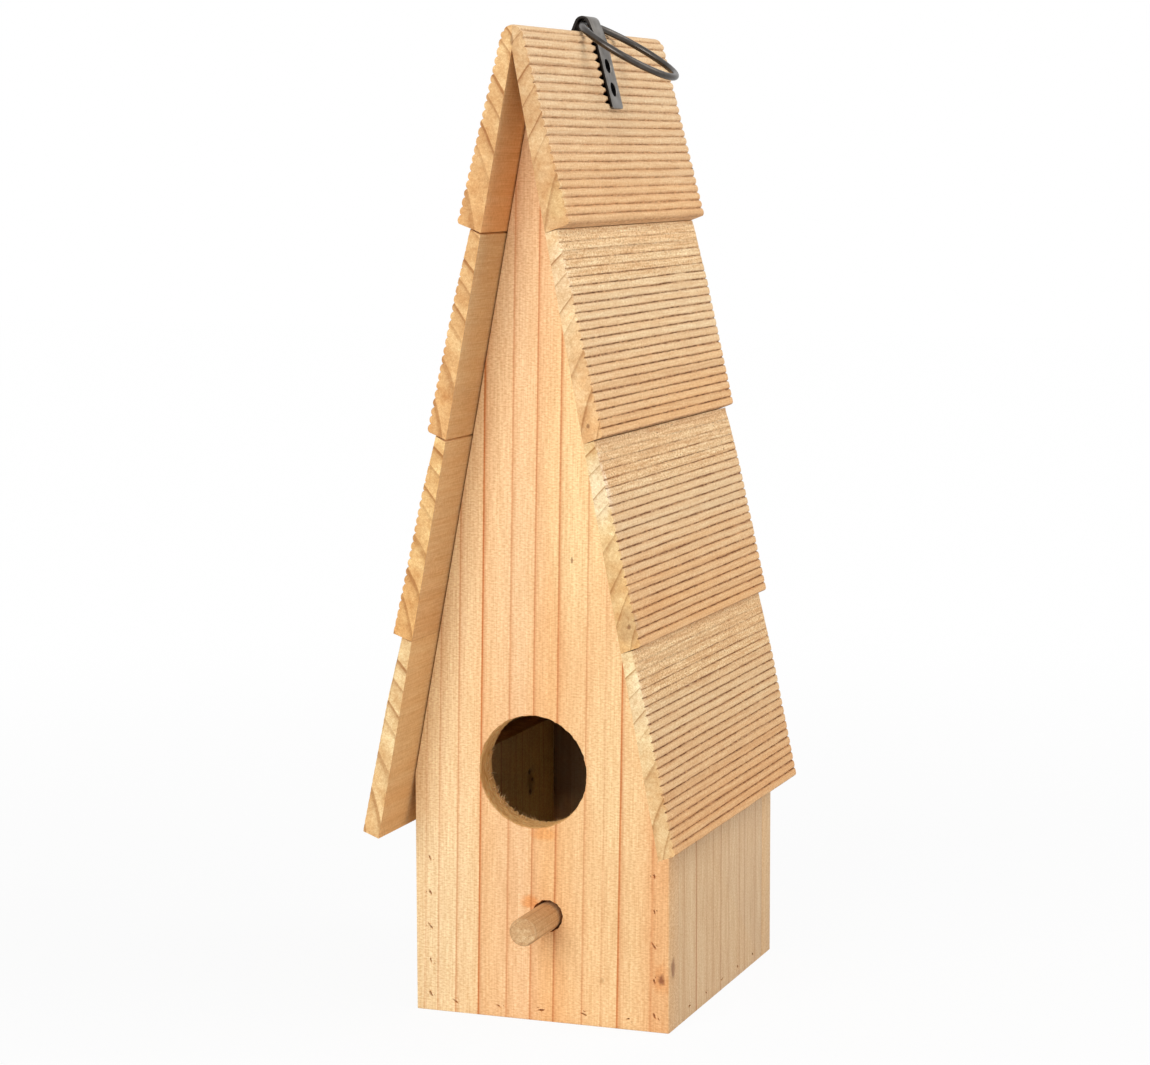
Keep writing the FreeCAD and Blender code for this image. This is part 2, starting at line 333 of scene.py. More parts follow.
def hand_over(piece: Piece, body: str, slot: str, *nodes: str) -> None:
    """Ties a finished piece to its body and hides the frame nodes that it stands for.

    Args:
        piece: finished mesh object.
        body: body of the frame that carries it.
        slot: material slot of the record; not used.
        *nodes: frame nodes that it replaces.
    """
    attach(piece, body)
    if nodes:
        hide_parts(*nodes)
    LOG.info("%s: %d faces on %s", piece.name, len(piece.data.polygons), body)


# Finishes

@dataclass
class Shader:
    """Nodes of one material or of the world, with short ways to the kinds that come up most."""

    tree: bpy.types.NodeTree

    @classmethod
    def of(cls, owner: bpy.types.Material | bpy.types.World, *details: object) -> "Shader":
        """Opens the emptied node tree of a new material or world.

        Args:
            owner: the material or world.
            *details: further fields of the class.

        Returns:
            The shader, still without nodes.
        """
        owner.use_nodes = True
        owner.node_tree.nodes.clear()
        return cls(owner.node_tree, *details)

    def add(self, kind: str, inputs: dict | None = None, **settings: object) -> bpy.types.Node:
        """Adds one node with its settings and links.

        Args:
            kind: Blender's name of the node type, after the word ShaderNode.
            inputs: socket name or number to a value, or to the output socket that feeds it.
            **settings: properties of the node itself.

        Returns:
            The new node.
        """
        node = self.tree.nodes.new("ShaderNode" + kind)
        for name, value in settings.items():
            setattr(node, name, value)
        for name, value in (inputs or {}).items():
            if isinstance(value, Socket):
                self.tree.links.new(value, node.inputs[name])
            else:
                node.inputs[name].default_value = value
        return node

    def number(self, operation: str, *values: Socket | float, clamp: bool = False) -> Socket:
        """Adds a sum of numbers: its operation, its operands and whether it stays within 0 and 1."""
        return self.add("Math", dict(enumerate(values)), operation=operation, use_clamp=clamp).outputs[0]

    def vector(self, operation: str, *values: Socket | Place) -> Socket:
        """Adds a sum of vectors: its operation and its operands."""
        node = self.add("VectorMath", dict(enumerate(values)), operation=operation)
        return node.outputs["Value" if operation in ("LENGTH", "DISTANCE", "DOT_PRODUCT") else "Vector"]

    def between(self, value: Socket, low: float = 0.0, high: float = 1.0, first: float = 0.0,
                last: float = 1.0, **settings: object) -> Socket:
        """Brings a number from one range to another and keeps it there.

        Args:
            value: the number.
            low: start of its own range.
            high: end of its own range.
            first: what the start turns into.
            last: what the end turns into.
            **settings: properties of the node.

        Returns:
            The new number's socket.
        """
        return self.add("MapRange", {0: value, 1: low, 2: high, 3: first, 4: last}, **settings).outputs[0]

    def blend(self, share: Socket, first: Socket | Colour, second: Socket | Colour) -> Socket:
        """Mixes two colours, by the share of the second."""
        return self.add("Mix", {0: share, 6: first, 7: second}, data_type="RGBA").outputs[2]

    def attribute(self, name: str) -> Socket:
        """Reads a number that the mesh holds for each point."""
        return self.add("Attribute", attribute_name=name).outputs["Fac"]

    def ramp(self, share: Socket, stops: list[tuple[float, Colour]]) -> bpy.types.Node:
        """Adds a colour ramp.

        Args:
            share: where on the ramp to read it, from 0 to 1.
            stops: place from 0 to 1 and linear colour of each stop, in order.

        Returns:
            The ramp's node.
        """
        node = self.add("ValToRGB", {0: share})
        elements = node.color_ramp.elements
        while len(elements) < len(stops):
            elements.new(1.0)
        for element, (place, colour) in zip(elements, stops):
            element.position = place
            element.color = colour
        return node

    def surface(self, inputs: dict) -> None:
        """Ends a material with one principled surface, from socket names and what they take."""
        shader = self.add("BsdfPrincipled", inputs)
        self.add("OutputMaterial", {"Surface": shader.outputs[0]})


@dataclass(frozen=True)
class ColourPatch:
    """Coloured spot on a board: a pin knot, a resin stain in the wood that the grain runs over, and in a few
    places painted light and painted shade.
    """

    middle: Place
    half_size: Place
    colour: str
    strength: float
    in_wood: bool = False


@dataclass(frozen=True)
class Softwood:
    """Raw pine or fir, sawn and planed, with no oil or paint.

    The wood is a solid pattern of growth rings round a pith line, so that faces, edges and end grain
    of a board belong together: pale honey earlywood, thin red-brown latewood lines, fine fibre streaks
    and a dull surface with a faint sheen.
    """

    name: str
    grain: Grain
    pith: tuple[float, float]
    ring_width: float = 7.0
    ring_lines: tuple[float, ...] = ()
    ring_vigour: tuple[float, ...] = ()
    lean: float = 0.0
    early: str = "#f6d2a0"
    blush: str = "#f2c08a"
    late: str = "#c57f45"
    tint_across: tuple[tuple[float, str], ...] = ()
    tint_drift: float = 10.0
    heart: tuple[float, float] = (0.0, 0.0)
    late_strength: float = 0.75
    weakest_ring: float = 0.35
    late_width: float = 0.08
    wobble: float = 2.0
    streak: float = 0.16
    fleck: float = 0.16
    broad: tuple[float, float] = (9.0, 160.0)
    face_late: float = 1.0
    under_late: float = 0.3
    end_tint: str = "#d4c6af"
    # Direction of the underside and the tone of its painted shade, which darkens the faces underneath.
    underside: tuple[Place, str] | None = None
    # Groove lines: partly darker wood in the grooves, partly painted shade.
    groove_colour: str = "#844c20"
    # Painted shade, near black, in the grooves under and beside the hanger strap.
    near_black_strap_shade: str = "#140d08"
    sawn_tint: str = "#fffaf2"
    worked_colour: str = ""
    # Pale drilled wood, made paler still as painted light for the shaded wall of the entrance.
    bored_tone_and_painted_light: str = "#ffcf88"
    ribbed: bool = False
    roughness: tuple[float, float] = (0.55, 0.75)
    sheen: float = 0.35
    grain_relief: float = 0.35
    grain_height: float = 0.15
    colour_patches: tuple[ColourPatch, ...] = ()

    def material(self) -> bpy.types.Material:
        """Builds the wood's material.

        Returns:
            The material.
        """
        material = bpy.data.materials.new(self.name)
        WoodShader.of(material, self).build()
        return material


class Pattern(Enum):
    """Noise in the wood: its size across and along the fibres in mm, and how much finer noise it holds."""

    RING_SWAY = (40.0, 300.0, 2.0)
    STREAKS = (0.45, 14.0, 4.0)
    FLECKS = (1.3, 0.55, 3.0)
    END_PATCHES = (7.0, 60.0, 2.0)
    END_PORES = (0.55, 3.0, 2.0)
    TORN = (0.9, 2.2, 5.0)
    LIFTED_SPECKS = (0.55, 1.2, 3.0)
    LIFTED_STREAKS = (0.8, 22.0, 3.0)
    PECKS = (0.6, 1.0, 1.0)
    FRAYED = (0.7, 2.5, 4.0)
    BORED = (1.1, 5.0, 4.0)


@dataclass
class WoodShader(Shader):
    """Shader of a softwood finish."""

    wood: Softwood
    spot: Socket = field(init=False)
    normal: Socket = field(init=False)
    place: Socket = field(init=False)
    radius: Socket = field(init=False)
    end: Socket = field(init=False)

    def build(self) -> None:
        """Builds the wood from its growth rings to the marks on its faces."""
        wood = self.wood
        texture = self.add("TexCoord")
        self.spot = texture.outputs["Object"]
        self.normal = texture.outputs["Normal"]
        self.place = self.board_place()
        self.radius = self.pith_distance()
        self.end = self.end_grain()
        ring = self.number("MULTIPLY", self.rings(), self.between(self.end, first=wood.face_late))
        if wood.underside:
            under = self.underside_share()
            ring = self.number("MULTIPLY", ring, self.between(under, first=1.0, last=wood.under_late))
        colour = self.blend(ring, self.marks_and_painted_light(self.tint(), in_wood=True), linear(wood.late))
        streak = self.noise(*Pattern.STREAKS.value)
        colour = self.varied(colour, streak, wood.streak)
        colour = self.varied(colour, self.noise(*Pattern.FLECKS.value), wood.fleck)
        colour = self.end_colour(colour)
        # Painted shade: the underside's tone darkens the faces underneath the board.
        if wood.underside:
            brown = self.vector("MULTIPLY", colour, linear(wood.underside[1])[:3])
            colour = self.blend(under, colour, brown)
        relief = self.number("MULTIPLY_ADD", ring, 0.5, streak)
        if wood.ribbed:
            colour, relief = self.rib_marks(colour, relief)
        if wood.worked_colour:
            colour = self.worked_marks(colour)
        bump = self.add("Bump", {
            "Height": relief, "Strength": wood.grain_relief, "Distance": wood.grain_height * MM})
        self.surface({
            "Base Color": self.marks_and_painted_light(colour, in_wood=False), "Normal": bump.outputs[0], "IOR": 1.5,
            "Roughness": self.between(streak, 0.0, 1.0, *wood.roughness), "Specular IOR Level": wood.sheen,
        })

    def board_place(self) -> Socket:
        """Place in the wood in mm: the pith at the origin and the fibres along Z.

        Returns:
            The place's socket.
        """
        across, up = self.wood.pith
        return self.add("Mapping", {
            "Vector": self.spot, "Location": (-across, -up if self.wood.grain is Grain.UP else up, 0.0),
            "Rotation": (self.wood.grain.value, self.wood.lean, 0.0), "Scale": (1 / MM, 1 / MM, 1 / MM),
        }).outputs[0]

    def noise(self, across: float, along: float, detail: float, output: str = "Fac") -> Socket:
        """Noise drawn out along the fibres.

        Args:
            across: size of a patch across the fibres, mm.
            along: size of a patch along the fibres, mm.
            detail: how much finer noise it holds.
            output: value or colour.

        Returns:
            The noise's socket, from 0 to 1.
        """
        drawn = self.vector("MULTIPLY", self.place, (1 / across, 1 / across, 1 / along))
        return self.add("TexNoise", {"Vector": drawn, "Scale": 1.0, "Detail": detail}).outputs[output]

    def varied(self, colour: Socket | Place, pattern: Socket, swing: float) -> Socket:
        """Colour that turns browner and paler with a pattern.

        Args:
            colour: colour so far.
            pattern: noise round 0.5.
            swing: how far the colour swings each way.

        Returns:
            The new colour's socket.
        """
        browner = [1 - swing * share for share in WOOD_SWING]
        paler = [1 + swing * share for share in WOOD_SWING]
        ends = {6: pattern, 7: (0.3, 0.3, 0.3), 8: (0.7, 0.7, 0.7), 9: browner, 10: paler}
        factor = self.add("MapRange", ends, data_type="FLOAT_VECTOR")
        return self.vector("MULTIPLY", colour, factor.outputs[1])

    def pith_distance(self) -> Socket:
        """Distance from the pith line, with the sway of rings that are never quite round.

        Returns:
            The distance's socket, mm.
        """
        sway = self.noise(*Pattern.RING_SWAY.value, "Color")
        bent = self.vector("MULTIPLY_ADD", sway, (self.wood.wobble, self.wood.wobble, 0.0), self.place)
        return self.vector("LENGTH", self.vector("MULTIPLY", bent, (1.0, 1.0, 0.0)))

    def rings(self) -> Socket:
        """How far the wood has turned to latewood.

        Returns:
            The share's socket, from 0 to 1.
        """
        wood = self.wood
        phase = self.counted_rings() if wood.ring_lines else self.spaced_rings()
        year = self.number("FLOOR", phase)
        if wood.ring_vigour:
            count = len(wood.ring_vigour)
            turn = self.number("MULTIPLY_ADD", year, 1 / count, 0.5 / count)
            steps = [(number / count, grey(share)) for number, share in enumerate(wood.ring_vigour)]
            ramp = self.ramp(turn, steps)
            ramp.color_ramp.interpolation = "CONSTANT"
            vigour = ramp.outputs[0]
        else:
            drawn = self.add("TexWhiteNoise", {"W": year}, noise_dimensions="1D")
            vigour = self.between(
                drawn.outputs["Value"], first=wood.weakest_ring * wood.late_strength, last=wood.late_strength)
        wide = wood.late_width
        curve = self.ramp(self.number("FRACT", phase), [
            (0.0, grey(0.4)), (0.02, grey(0.0)), (1 - 5.6 * wide, grey(0.0)), (1 - 2 * wide, grey(0.15)),
            (1 - wide, grey(0.45)), (1 - 0.55 * wide, grey(1.0)), (0.985, grey(1.0)), (1.0, grey(0.5)),
        ])
        return self.number("MULTIPLY", curve.outputs[0], vigour)

    def spaced_rings(self) -> Socket:
        """Ring count at the distance from the pith, for rings of uneven width.

        Returns:
            The count's socket.
        """
        even = self.number("DIVIDE", self.radius, self.wood.ring_width)
        years = self.add("TexNoise", {"W": even, "Scale": 0.45, "Detail": 1.0}, noise_dimensions="1D")
        return self.number("MULTIPLY_ADD", years.outputs["Fac"], 1.6, even)

    def counted_rings(self) -> Socket:
        """Ring count at the distance from the pith, for rings whose lines have known places.

        Returns:
            The count's socket.
        """
        reach = [self.wood.pith[0] - line for line in self.wood.ring_lines]
        count = len(reach) - 1
        curve = self.add("FloatCurve", {"Value": self.between(self.radius, reach[0], reach[-1])})
        points = curve.mapping.curves[0].points
        for number, line in enumerate(reach[1:-1], start=1):
            points.new((line - reach[0]) / (reach[-1] - reach[0]), number / count)
        for point in points:
            point.handle_type = "VECTOR"
        curve.mapping.update()
        return self.number("MULTIPLY", curve.outputs[0], float(count))

    def tint(self) -> Socket:
        """Colour of the earlywood, from board edge to board edge, from heart to sapwood or in broad streaks.

        Returns:
            The colour's socket.
        """
        wood = self.wood
        broad = self.noise(*wood.broad, 2.0)
        if not wood.tint_across:
            if wood.heart[1]:
                core = self.between(self.radius, *wood.heart, 0.75, -0.25)
                broad = self.number("ADD", broad, core, clamp=True)
            return self.blend(broad, linear(wood.early), linear(wood.blush))
        first, last = wood.tint_across[0][0], wood.tint_across[-1][0]
        sideways = self.add("SeparateXYZ", {0: self.spot}).outputs[0]
        drift = self.number("MULTIPLY_ADD", broad, wood.tint_drift * MM, sideways)
        ends = ((line + wood.tint_drift / 2) * MM for line in (first, last))
        stops = [((line - first) / (last - first), linear(colour)) for line, colour in wood.tint_across]
        return self.ramp(self.between(drift, *ends), stops).outputs[0]

    def end_grain(self) -> Socket:
        """Share by which a face cuts across the fibres.

        Returns:
            The share's socket.
        """
        along = (0.0, 0.0, 1.0) if self.wood.grain is Grain.UP else (0.0, 1.0, 0.0)
        facing = self.number("ABSOLUTE", self.vector("DOT_PRODUCT", self.normal, along))
        return self.between(facing, 0.7, 0.92)

    def end_colour(self, colour: Socket) -> Socket:
        """Colour with the end grain's warmer tone, its paler patches and its pores.

        Args:
            colour: colour of the long grain.

        Returns:
            The colour's socket.
        """
        tone = [END_GAIN * share for share in linear(self.wood.end_tint)[:3]]
        warm = self.vector("MULTIPLY", colour, tone)
        patchy = self.varied(warm, self.noise(*Pattern.END_PATCHES.value), 0.26)
        porous = self.varied(patchy, self.noise(*Pattern.END_PORES.value), 0.13)
        return self.blend(self.end, colour, porous)

    def underside_share(self) -> Socket:
        """Share by which a face is the board's planed underside."""
        return self.between(self.vector("DOT_PRODUCT", self.normal, self.wood.underside[0]), 0.7, 0.95)

    def rib_marks(self, colour: Socket, relief: Socket) -> tuple[Socket, Socket]:
        """Dark groove lines, partly darker wood and partly painted shade, which end grain has none of; the
        torn fibres that the saw left; and painted shade under and beside the hanger strap.

        Args:
            colour: colour so far.
            relief: height for the bump so far.

        Returns:
            The new colour's and the new height's socket.
        """
        dark = linear(self.wood.groove_colour)
        long_grain = self.number("SUBTRACT", 1.0, self.end)
        groove = self.attribute("groove")
        rough = self.number("MULTIPLY", self.attribute("sawn"), long_grain)
        torn = self.noise(*Pattern.TORN.value)
        lifted = self.varied(colour, self.noise(*Pattern.LIFTED_SPECKS.value), 0.4)
        lifted = self.varied(lifted, self.noise(*Pattern.LIFTED_STREAKS.value), 0.25)
        lifted = self.vector("MULTIPLY", lifted, linear(self.wood.sawn_tint)[:3])
        colour = self.blend(rough, colour, lifted)
        broken = self.number("MULTIPLY", groove, self.between(torn, 0.35, 0.65, 1.5, 0.35))
        colour = self.blend(self.number("MULTIPLY", broken, long_grain, clamp=True), colour, dark)
        pecked = self.between(self.noise(*Pattern.PECKS.value), 0.67, 0.73, 0.0, 0.85)
        colour = self.blend(self.number("MULTIPLY", pecked, rough), colour, dark)
        # Painted shade: groove values above one, under and beside the hanger strap, turn near black.
        under_strap_shade = self.between(groove, 1.0, 2.0, 0.0, 0.95)
        colour = self.blend(under_strap_shade, colour, linear(self.wood.near_black_strap_shade))
        return colour, self.number("MULTIPLY_ADD", torn, rough, relief)

    def worked_marks(self, colour: Socket) -> Socket:
        """Colour with the browned wood where a punch went in and the pale, rough wood that a drill left, made
        paler still as painted light on the shaded wall of the entrance.

        Args:
            colour: colour so far.

        Returns:
            The new colour's socket.
        """
        worked = self.attribute("worked")
        frayed = self.between(self.noise(*Pattern.FRAYED.value), 0.3, 0.65, 1.2, 0.35)
        share = self.number("MULTIPLY", frayed, worked, clamp=True)
        punched = self.blend(share, colour, linear(self.wood.worked_colour))
        bored = self.varied(linear(self.wood.bored_tone_and_painted_light)[:3], self.noise(*Pattern.BORED.value), 0.4)
        return self.blend(self.between(worked, -1.0, 0.0, 0.9, 0.0), punched, bored)

    def marks_and_painted_light(self, colour: Socket, in_wood: bool) -> Socket:
        """Colour with the wood's knots, stains and patches of painted light and shade on it.

        Args:
            colour: colour so far.
            in_wood: takes the patches that the grain runs over, stains and painted light, or else the spots
                on top.

        Returns:
            The new colour's socket.
        """
        for colour_patch in self.wood.colour_patches:
            if colour_patch.in_wood is not in_wood:
                continue
            scale = [1 / (half * MM) for half in colour_patch.half_size]
            shift = [-middle / half for middle, half in zip(colour_patch.middle, colour_patch.half_size)]
            near = self.add("Mapping", {"Vector": self.spot, "Location": shift, "Scale": scale}).outputs[0]
            ragged = self.add("TexNoise", {"Vector": near, "Scale": 1.6, "Detail": 3.0}).outputs["Color"]
            spread = self.vector("MULTIPLY_ADD", ragged, (0.9, 0.9, 0.9), near)
            away = self.vector("LENGTH", self.vector("SUBTRACT", spread, (0.45, 0.45, 0.45)))
            share = self.between(away, 0.3, 1.0, colour_patch.strength, 0.0, interpolation_type="SMOOTHSTEP")
            colour = self.blend(share, colour, linear(colour_patch.colour))
        return colour


@dataclass(frozen=True)
class Steel:
    """Rolled or drawn steel with a thin dull coat: a soft grey sheen, patchy from handling."""

    name: str
    colour: str
    worn: str
    roughness: tuple[float, float]
    patch: float = 3.0
    grit: float = 0.35
    metallic: float = 1.0
    sheen: float = 0.5
    shaded_edge: str | None = None
    # Painted shade: the flat black in the countersinks round the screws' heads, and how far it reaches.
    countersink_shade: str = "#070606"
    shaded_countersinks: tuple[Place, ...] = ()
    shaded_countersink_radius: float = 2.6

    def material(self) -> bpy.types.Material:
        """Builds the steel's material.

        Returns:
            The material.
        """
        material = bpy.data.materials.new(self.name)
        shader = Shader.of(material)
        spot = shader.add("TexCoord").outputs["Object"]
        patch = shader.add("TexNoise", {"Vector": spot, "Scale": 1 / (self.patch * MM), "Detail": 3.0})
        grit = shader.add("TexNoise", {"Vector": spot, "Scale": 1 / (self.grit * MM), "Detail": 2.0})
        rough = grit.outputs["Fac"]
        share = shader.between(patch.outputs["Fac"], 0.35, 0.7)
        colour = shader.blend(share, linear(self.colour), linear(self.worn))
        bump = shader.add("Bump", {"Height": rough, "Strength": 0.2, "Distance": 0.03 * MM})
        # Painted shade: the strip's edges, which face along Y, are darkened.
        if self.shaded_edge:
            colour = shader.blend(self.edge_share(shader), colour, linear(self.shaded_edge))
        metallic = self.metallic
        # Painted shade: the countersinks turn a flat black that is not metal.
        if self.shaded_countersinks:
            metallic = self.unshaded_share(shader, spot)
            colour = shader.blend(metallic, linear(self.countersink_shade), colour)
        shader.surface({
            "Base Color": colour, "Metallic": metallic, "Normal": bump.outputs[0],
            "Roughness": shader.between(rough, 0.0, 1.0, *self.roughness), "Specular IOR Level": self.sheen,
        })
        return material

    def edge_share(self, shader: Shader) -> Socket:
        """Share by which a face is a cut edge of the strip, which faces along Y and takes painted shade.

        Args:
            shader: shader to add to.

        Returns:
            The share's socket.
        """
        normal = shader.add("NewGeometry").outputs["Normal"]
        along = shader.add("SeparateXYZ", {0: normal}).outputs["Y"]
        return shader.between(shader.number("ABSOLUTE", along), 0.8, 0.95)

    def unshaded_share(self, shader: Shader, spot: Socket) -> Socket:
        """Share of bare steel: none in the countersinks, which take painted shade, a flat black.

        Args:
            shader: shader to add to.
            spot: Object coordinates.

        Returns:
            The share's socket.
        """
        unshaded: Socket | float = 1.0
        rim = self.shaded_countersink_radius * MM
        for place in self.shaded_countersinks:
            away = shader.vector("DISTANCE", spot, place)
            unshaded = shader.number("MULTIPLY", unshaded, shader.between(away, 0.96 * rim, rim))
        return unshaded


# Box of boards

@dataclass
class Brads:
    """Flat wire brads, punched just below the wood, and the dents over them."""

    finish: Steel
    sunk: float = 1.2
    dent_depth: float = 0.9
    dent_length: float = 2.7
    dent_width: float = 0.7
    wall_lean: tuple[float, float] = (0.25, 0.75)
    floor_lean: tuple[float, float] = (1.0, 1.9)
    head_height: float = 0.5
    second_dent: tuple[float, float] = (0.35, 0.6)
    seed: int = 5
    heads: dict[str, list[Vector]] = field(default_factory=dict)
    ways: dict[str, Vector] = field(default_factory=lambda: {
        "front_wall_brads": Vector((0, -1, 0)),
        "front_floor_brads": Vector((0, -1, 0)),
        "back_wall_brads": Vector((0, 1, 0)),
        "back_floor_brads": Vector((0, 1, 0)),
        "side_floor_brads": Vector((1, 0, 0)),
        "left_roof_brads": Vector((-1, 0, 0)),
        "right_roof_brads": Vector((1, 0, 0)),
    })

    def build(self) -> None:
        """Punches every brad a little way in and keeps the places of their heads."""
        material = self.finish.material()
        for node, way in self.ways.items():
            piece = copy_of(node, "punched_" + node)
            self.heads[node] = [self.punch(piece.data, shell, way) for shell in islands(piece.data)]
            dress(piece, material)
            hand_over(piece, "house", "brad_steel", node)

    def punch(self, mesh: bpy.types.Mesh, shell: list[int], way: Vector) -> Vector:
        """Pushes one brad's head into the wood.

        Args:
            mesh: mesh of the group of brads.
            shell: vertices of this brad.
            way: outwards, for the brads of the right side where both sides have some.

        Returns:
            Middle of the head before it was punched.
        """
        points = [mesh.vertices[number] for number in shell]
        middle = sum((point.co for point in points), Vector()) / len(points)
        outward = way if middle.x * way.x >= 0 else -way
        reach = max(point.co.dot(outward) for point in points)
        top = [point for point in points if reach - point.co.dot(outward) < self.head_height * MM]
        head = sum((point.co for point in top), Vector()) / len(top)
        for point in top:
            point.co -= outward * self.sunk * MM
        return head

    def dents(self, nodes: dict[str, Vector]) -> Piece:
        """Makes the cutters of the dents over some groups of brads.

        Args:
            nodes: group of brads to the outward direction of the face to dent.

        Returns:
            The cutters as one mesh.
        """
        drawn = random.Random(self.seed)
        cutters = []
        for node, outward in nodes.items():
            for head in self.heads[node]:
                if head.dot(outward) < 0:
                    continue
                lean = drawn.uniform(*(self.wall_lean if "wall" in node else self.floor_lean))
                long = Matrix.Rotation(lean, 3, outward) @ Vector((0, 0, 1))
                turn = Matrix((long, outward.cross(long), outward)).transposed()
                cutters.append(self.dent(head, turn, 1.0, drawn))
                along = drawn.uniform(-1.6, 1.6)
                beside = turn @ Vector((along, drawn.choice((-1, 1)) * drawn.uniform(0.9, 1.3), 0))
                size = drawn.uniform(*self.second_dent)
                cutters.append(self.dent(head + beside * MM, turn, size, drawn))
        return join(cutters, "dents")

    def dent(self, place: Vector, turn: Matrix, size: float, drawn: random.Random) -> Piece:
        """Makes the cutter of one ragged dent.

        Args:
            place: middle of the dent, metres.
            turn: its length, width and outward direction.
            size: share of the full length and width.
            drawn: source of its ragged outline.

        Returns:
            The cutter.
        """
        bpy.ops.object.select_all(action="DESELECT")
        bpy.ops.mesh.primitive_cone_add(vertices=9, radius1=0.25, radius2=1.0, depth=1.0)
        cutter = bpy.context.object
        for vertex in cutter.data.vertices:
            vertex.co.xy *= drawn.uniform(0.5, 1.2)
        length = size * self.dent_length * MM * drawn.uniform(0.6, 1.2)
        width = size * self.dent_width * MM * drawn.uniform(0.7, 1.3)
        spread = Matrix.Diagonal((length, width, 2 * size * self.dent_depth * MM, 1.0))
        cutter.matrix_world = Matrix.Translation(place) @ turn.to_4x4() @ spread
        return cutter


def in_dent(depth: float) -> bool:
    """True at a depth below a face, in metres, where a punched dent lies."""
    return DENT_REACH[0] * MM < depth < DENT_REACH[1] * MM


def mark_worked(piece: Piece, test: Callable[[Vector], float]) -> None:
    """Keeps, for the finish, how much a tool has worked each point of a piece.

    Args:
        piece: mesh object.
        test: takes a point and gives 1 where it was punched, -1 where it was drilled and 0 elsewhere.
    """
    shares = [test(vertex.co) for vertex in piece.data.vertices]
    piece.data.attributes.new("worked", "FLOAT", "POINT").data.foreach_set("value", shares)


@dataclass
class BoxBoards:
    """Side walls, floor and back panel: planed boards with eased arrises and punched brads."""

    brads: Brads
    arris: float = 0.45
    dents_within: float = 47.0

    def build(self) -> None:
        """Builds and dresses the four plain boards."""
        right = Vector((1, 0, 0))
        self.wall("left_side_wall", -right, Softwood(
            "planed_pine_left_wall", Grain.UP, (-260.0, -330.0), ring_width=6.5, late_strength=0.6,
            worked_colour=PUNCHED_BROWN, colour_patches=(
                # Painted light: a pale patch over the inner face lightens the inside of the box.
                ColourPatch((-33.0, 11.0, 55.0), (7.0, 160.0, 160.0), "#ffeca0", 0.95, True),
                ColourPatch((-37.0, 36.0, 67.0), (3.0, 5.0, 7.0), "#6a4620", 0.55),
                ColourPatch((-37.0, 34.4, 71.5), (3.0, 1.8, 1.5), "#241405", 0.7),
                ColourPatch((-37.0, 37.4, 68.0), (3.0, 1.4, 1.1), "#241405", 0.6),
                ColourPatch((-37.0, 35.2, 63.5), (3.0, 1.7, 1.7), "#241405", 0.65),
            )))
        self.wall("right_side_wall", right, Softwood(
            "planed_pine_right_wall", Grain.UP, (40.0, -640.0), ring_width=10.0, early="#dfc097",
            blush="#d2ab7e", late="#a85f26", late_strength=0.9, wobble=1.5, streak=0.24,
            worked_colour=PUNCHED_BROWN,
            # Painted light: a pale patch over the inner face lightens the inside of the box.
            colour_patches=(ColourPatch((33.0, 11.0, 55.0), (7.0, 160.0, 160.0), "#fff2d4", 0.95, True),)))
        self.floor()
        self.back()

    def wall(self, node: str, outward: Vector, finish: Softwood) -> None:
        """Builds one side wall.

        Args:
            node: frame node that it stands for.
            outward: direction of its outer face.
            finish: wood of the wall.
        """
        low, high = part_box(node)
        piece = add_block("planed_" + node, low, high)
        ease(piece, self.arris)
        carve(piece, self.brads.dents({"side_floor_brads": outward}))
        face = high.x if outward.x > 0 else -low.x
        inner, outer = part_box("floor_board")
        mark_worked(piece, lambda spot: (
            in_dent(face - spot.dot(outward)) and self.arris * MM < spot.z < outer.z + MM
            and inner.y < spot.y < outer.y))
        dress(piece, finish.material())
        hand_over(piece, "house", "panel_wood", node)

    def floor(self) -> None:
        """Builds the floor board."""
        piece = add_block("planed_floor_board", *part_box("floor_board"))
        ease(piece, self.arris)
        finish = Softwood("planed_pine_floor", Grain.BACK, (15.0, -60.0), ring_width=6.0, early="#fbe6c2",
                          blush="#f6d6a8")
        dress(piece, finish.material())
        hand_over(piece, "house", "panel_wood", "floor_board")

    def back(self) -> None:
        """Builds the back panel."""
        piece = gable_board("planed_back_panel", "back_panel", self.arris)
        outward = Vector((0, 1, 0))
        carve(piece, self.brads.dents({"back_wall_brads": outward, "back_floor_brads": outward}))
        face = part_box("back_panel")[1].y
        mark_worked(piece, lambda spot: in_dent(face - spot.y) and abs(spot.x) < self.dents_within * MM)
        # Painted shade: darkens the inner face of the back panel, inside the box.
        painted_interior_shade = ColourPatch((-30.0, 61.2, 80.0), (28.0, 5.0, 40.0), "#3a2008", 0.6)
        edge = ColourPatch((48.6, 66.7, 44.0), (1.3, 40.0, 400.0), "#d6b184", 0.9, True)
        finish = Softwood(
            "planed_pine_back_panel", Grain.UP, (-300.0, 160.0), ring_width=8.5, late_strength=0.65,
            worked_colour=PUNCHED_BROWN, colour_patches=(painted_interior_shade, edge))
        dress(piece, finish.material())
        hand_over(piece, "house", "panel_wood", "back_panel")


def gable_board(name: str, node: str, arris: float, short: float = 0.0) -> Piece:
    """Builds a five-sided panel in the place of a frame node.

    Args:
        name: name of the piece.
        node: frame node that gives its place and size.
        arris: width of its eased edges, mm.
        short: height by which its sloping edges stay below the roof boards, mm.

    Returns:
        The panel.
    """
    low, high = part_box(node)
    knee = (KNEE_HEIGHT - short) * MM
    piece = add_block(name, low, Vector((high.x, high.y, knee)))
    choose(piece, Pick.FACES, lambda middle, normal: normal.z > 0.9)
    with editing(piece):
        rise = (0, 0, high.z - short * MM - knee)
        bpy.ops.mesh.extrude_region_move(TRANSFORM_OT_translate={"value": rise})
        bpy.ops.transform.resize(value=(0, 1, 1))
        bpy.ops.mesh.select_all(action="SELECT")
        bpy.ops.mesh.remove_doubles(threshold=TINY)
        bpy.ops.mesh.dissolve_limited(angle_limit=math.radians(1))
    ease(piece, arris)
    return piece


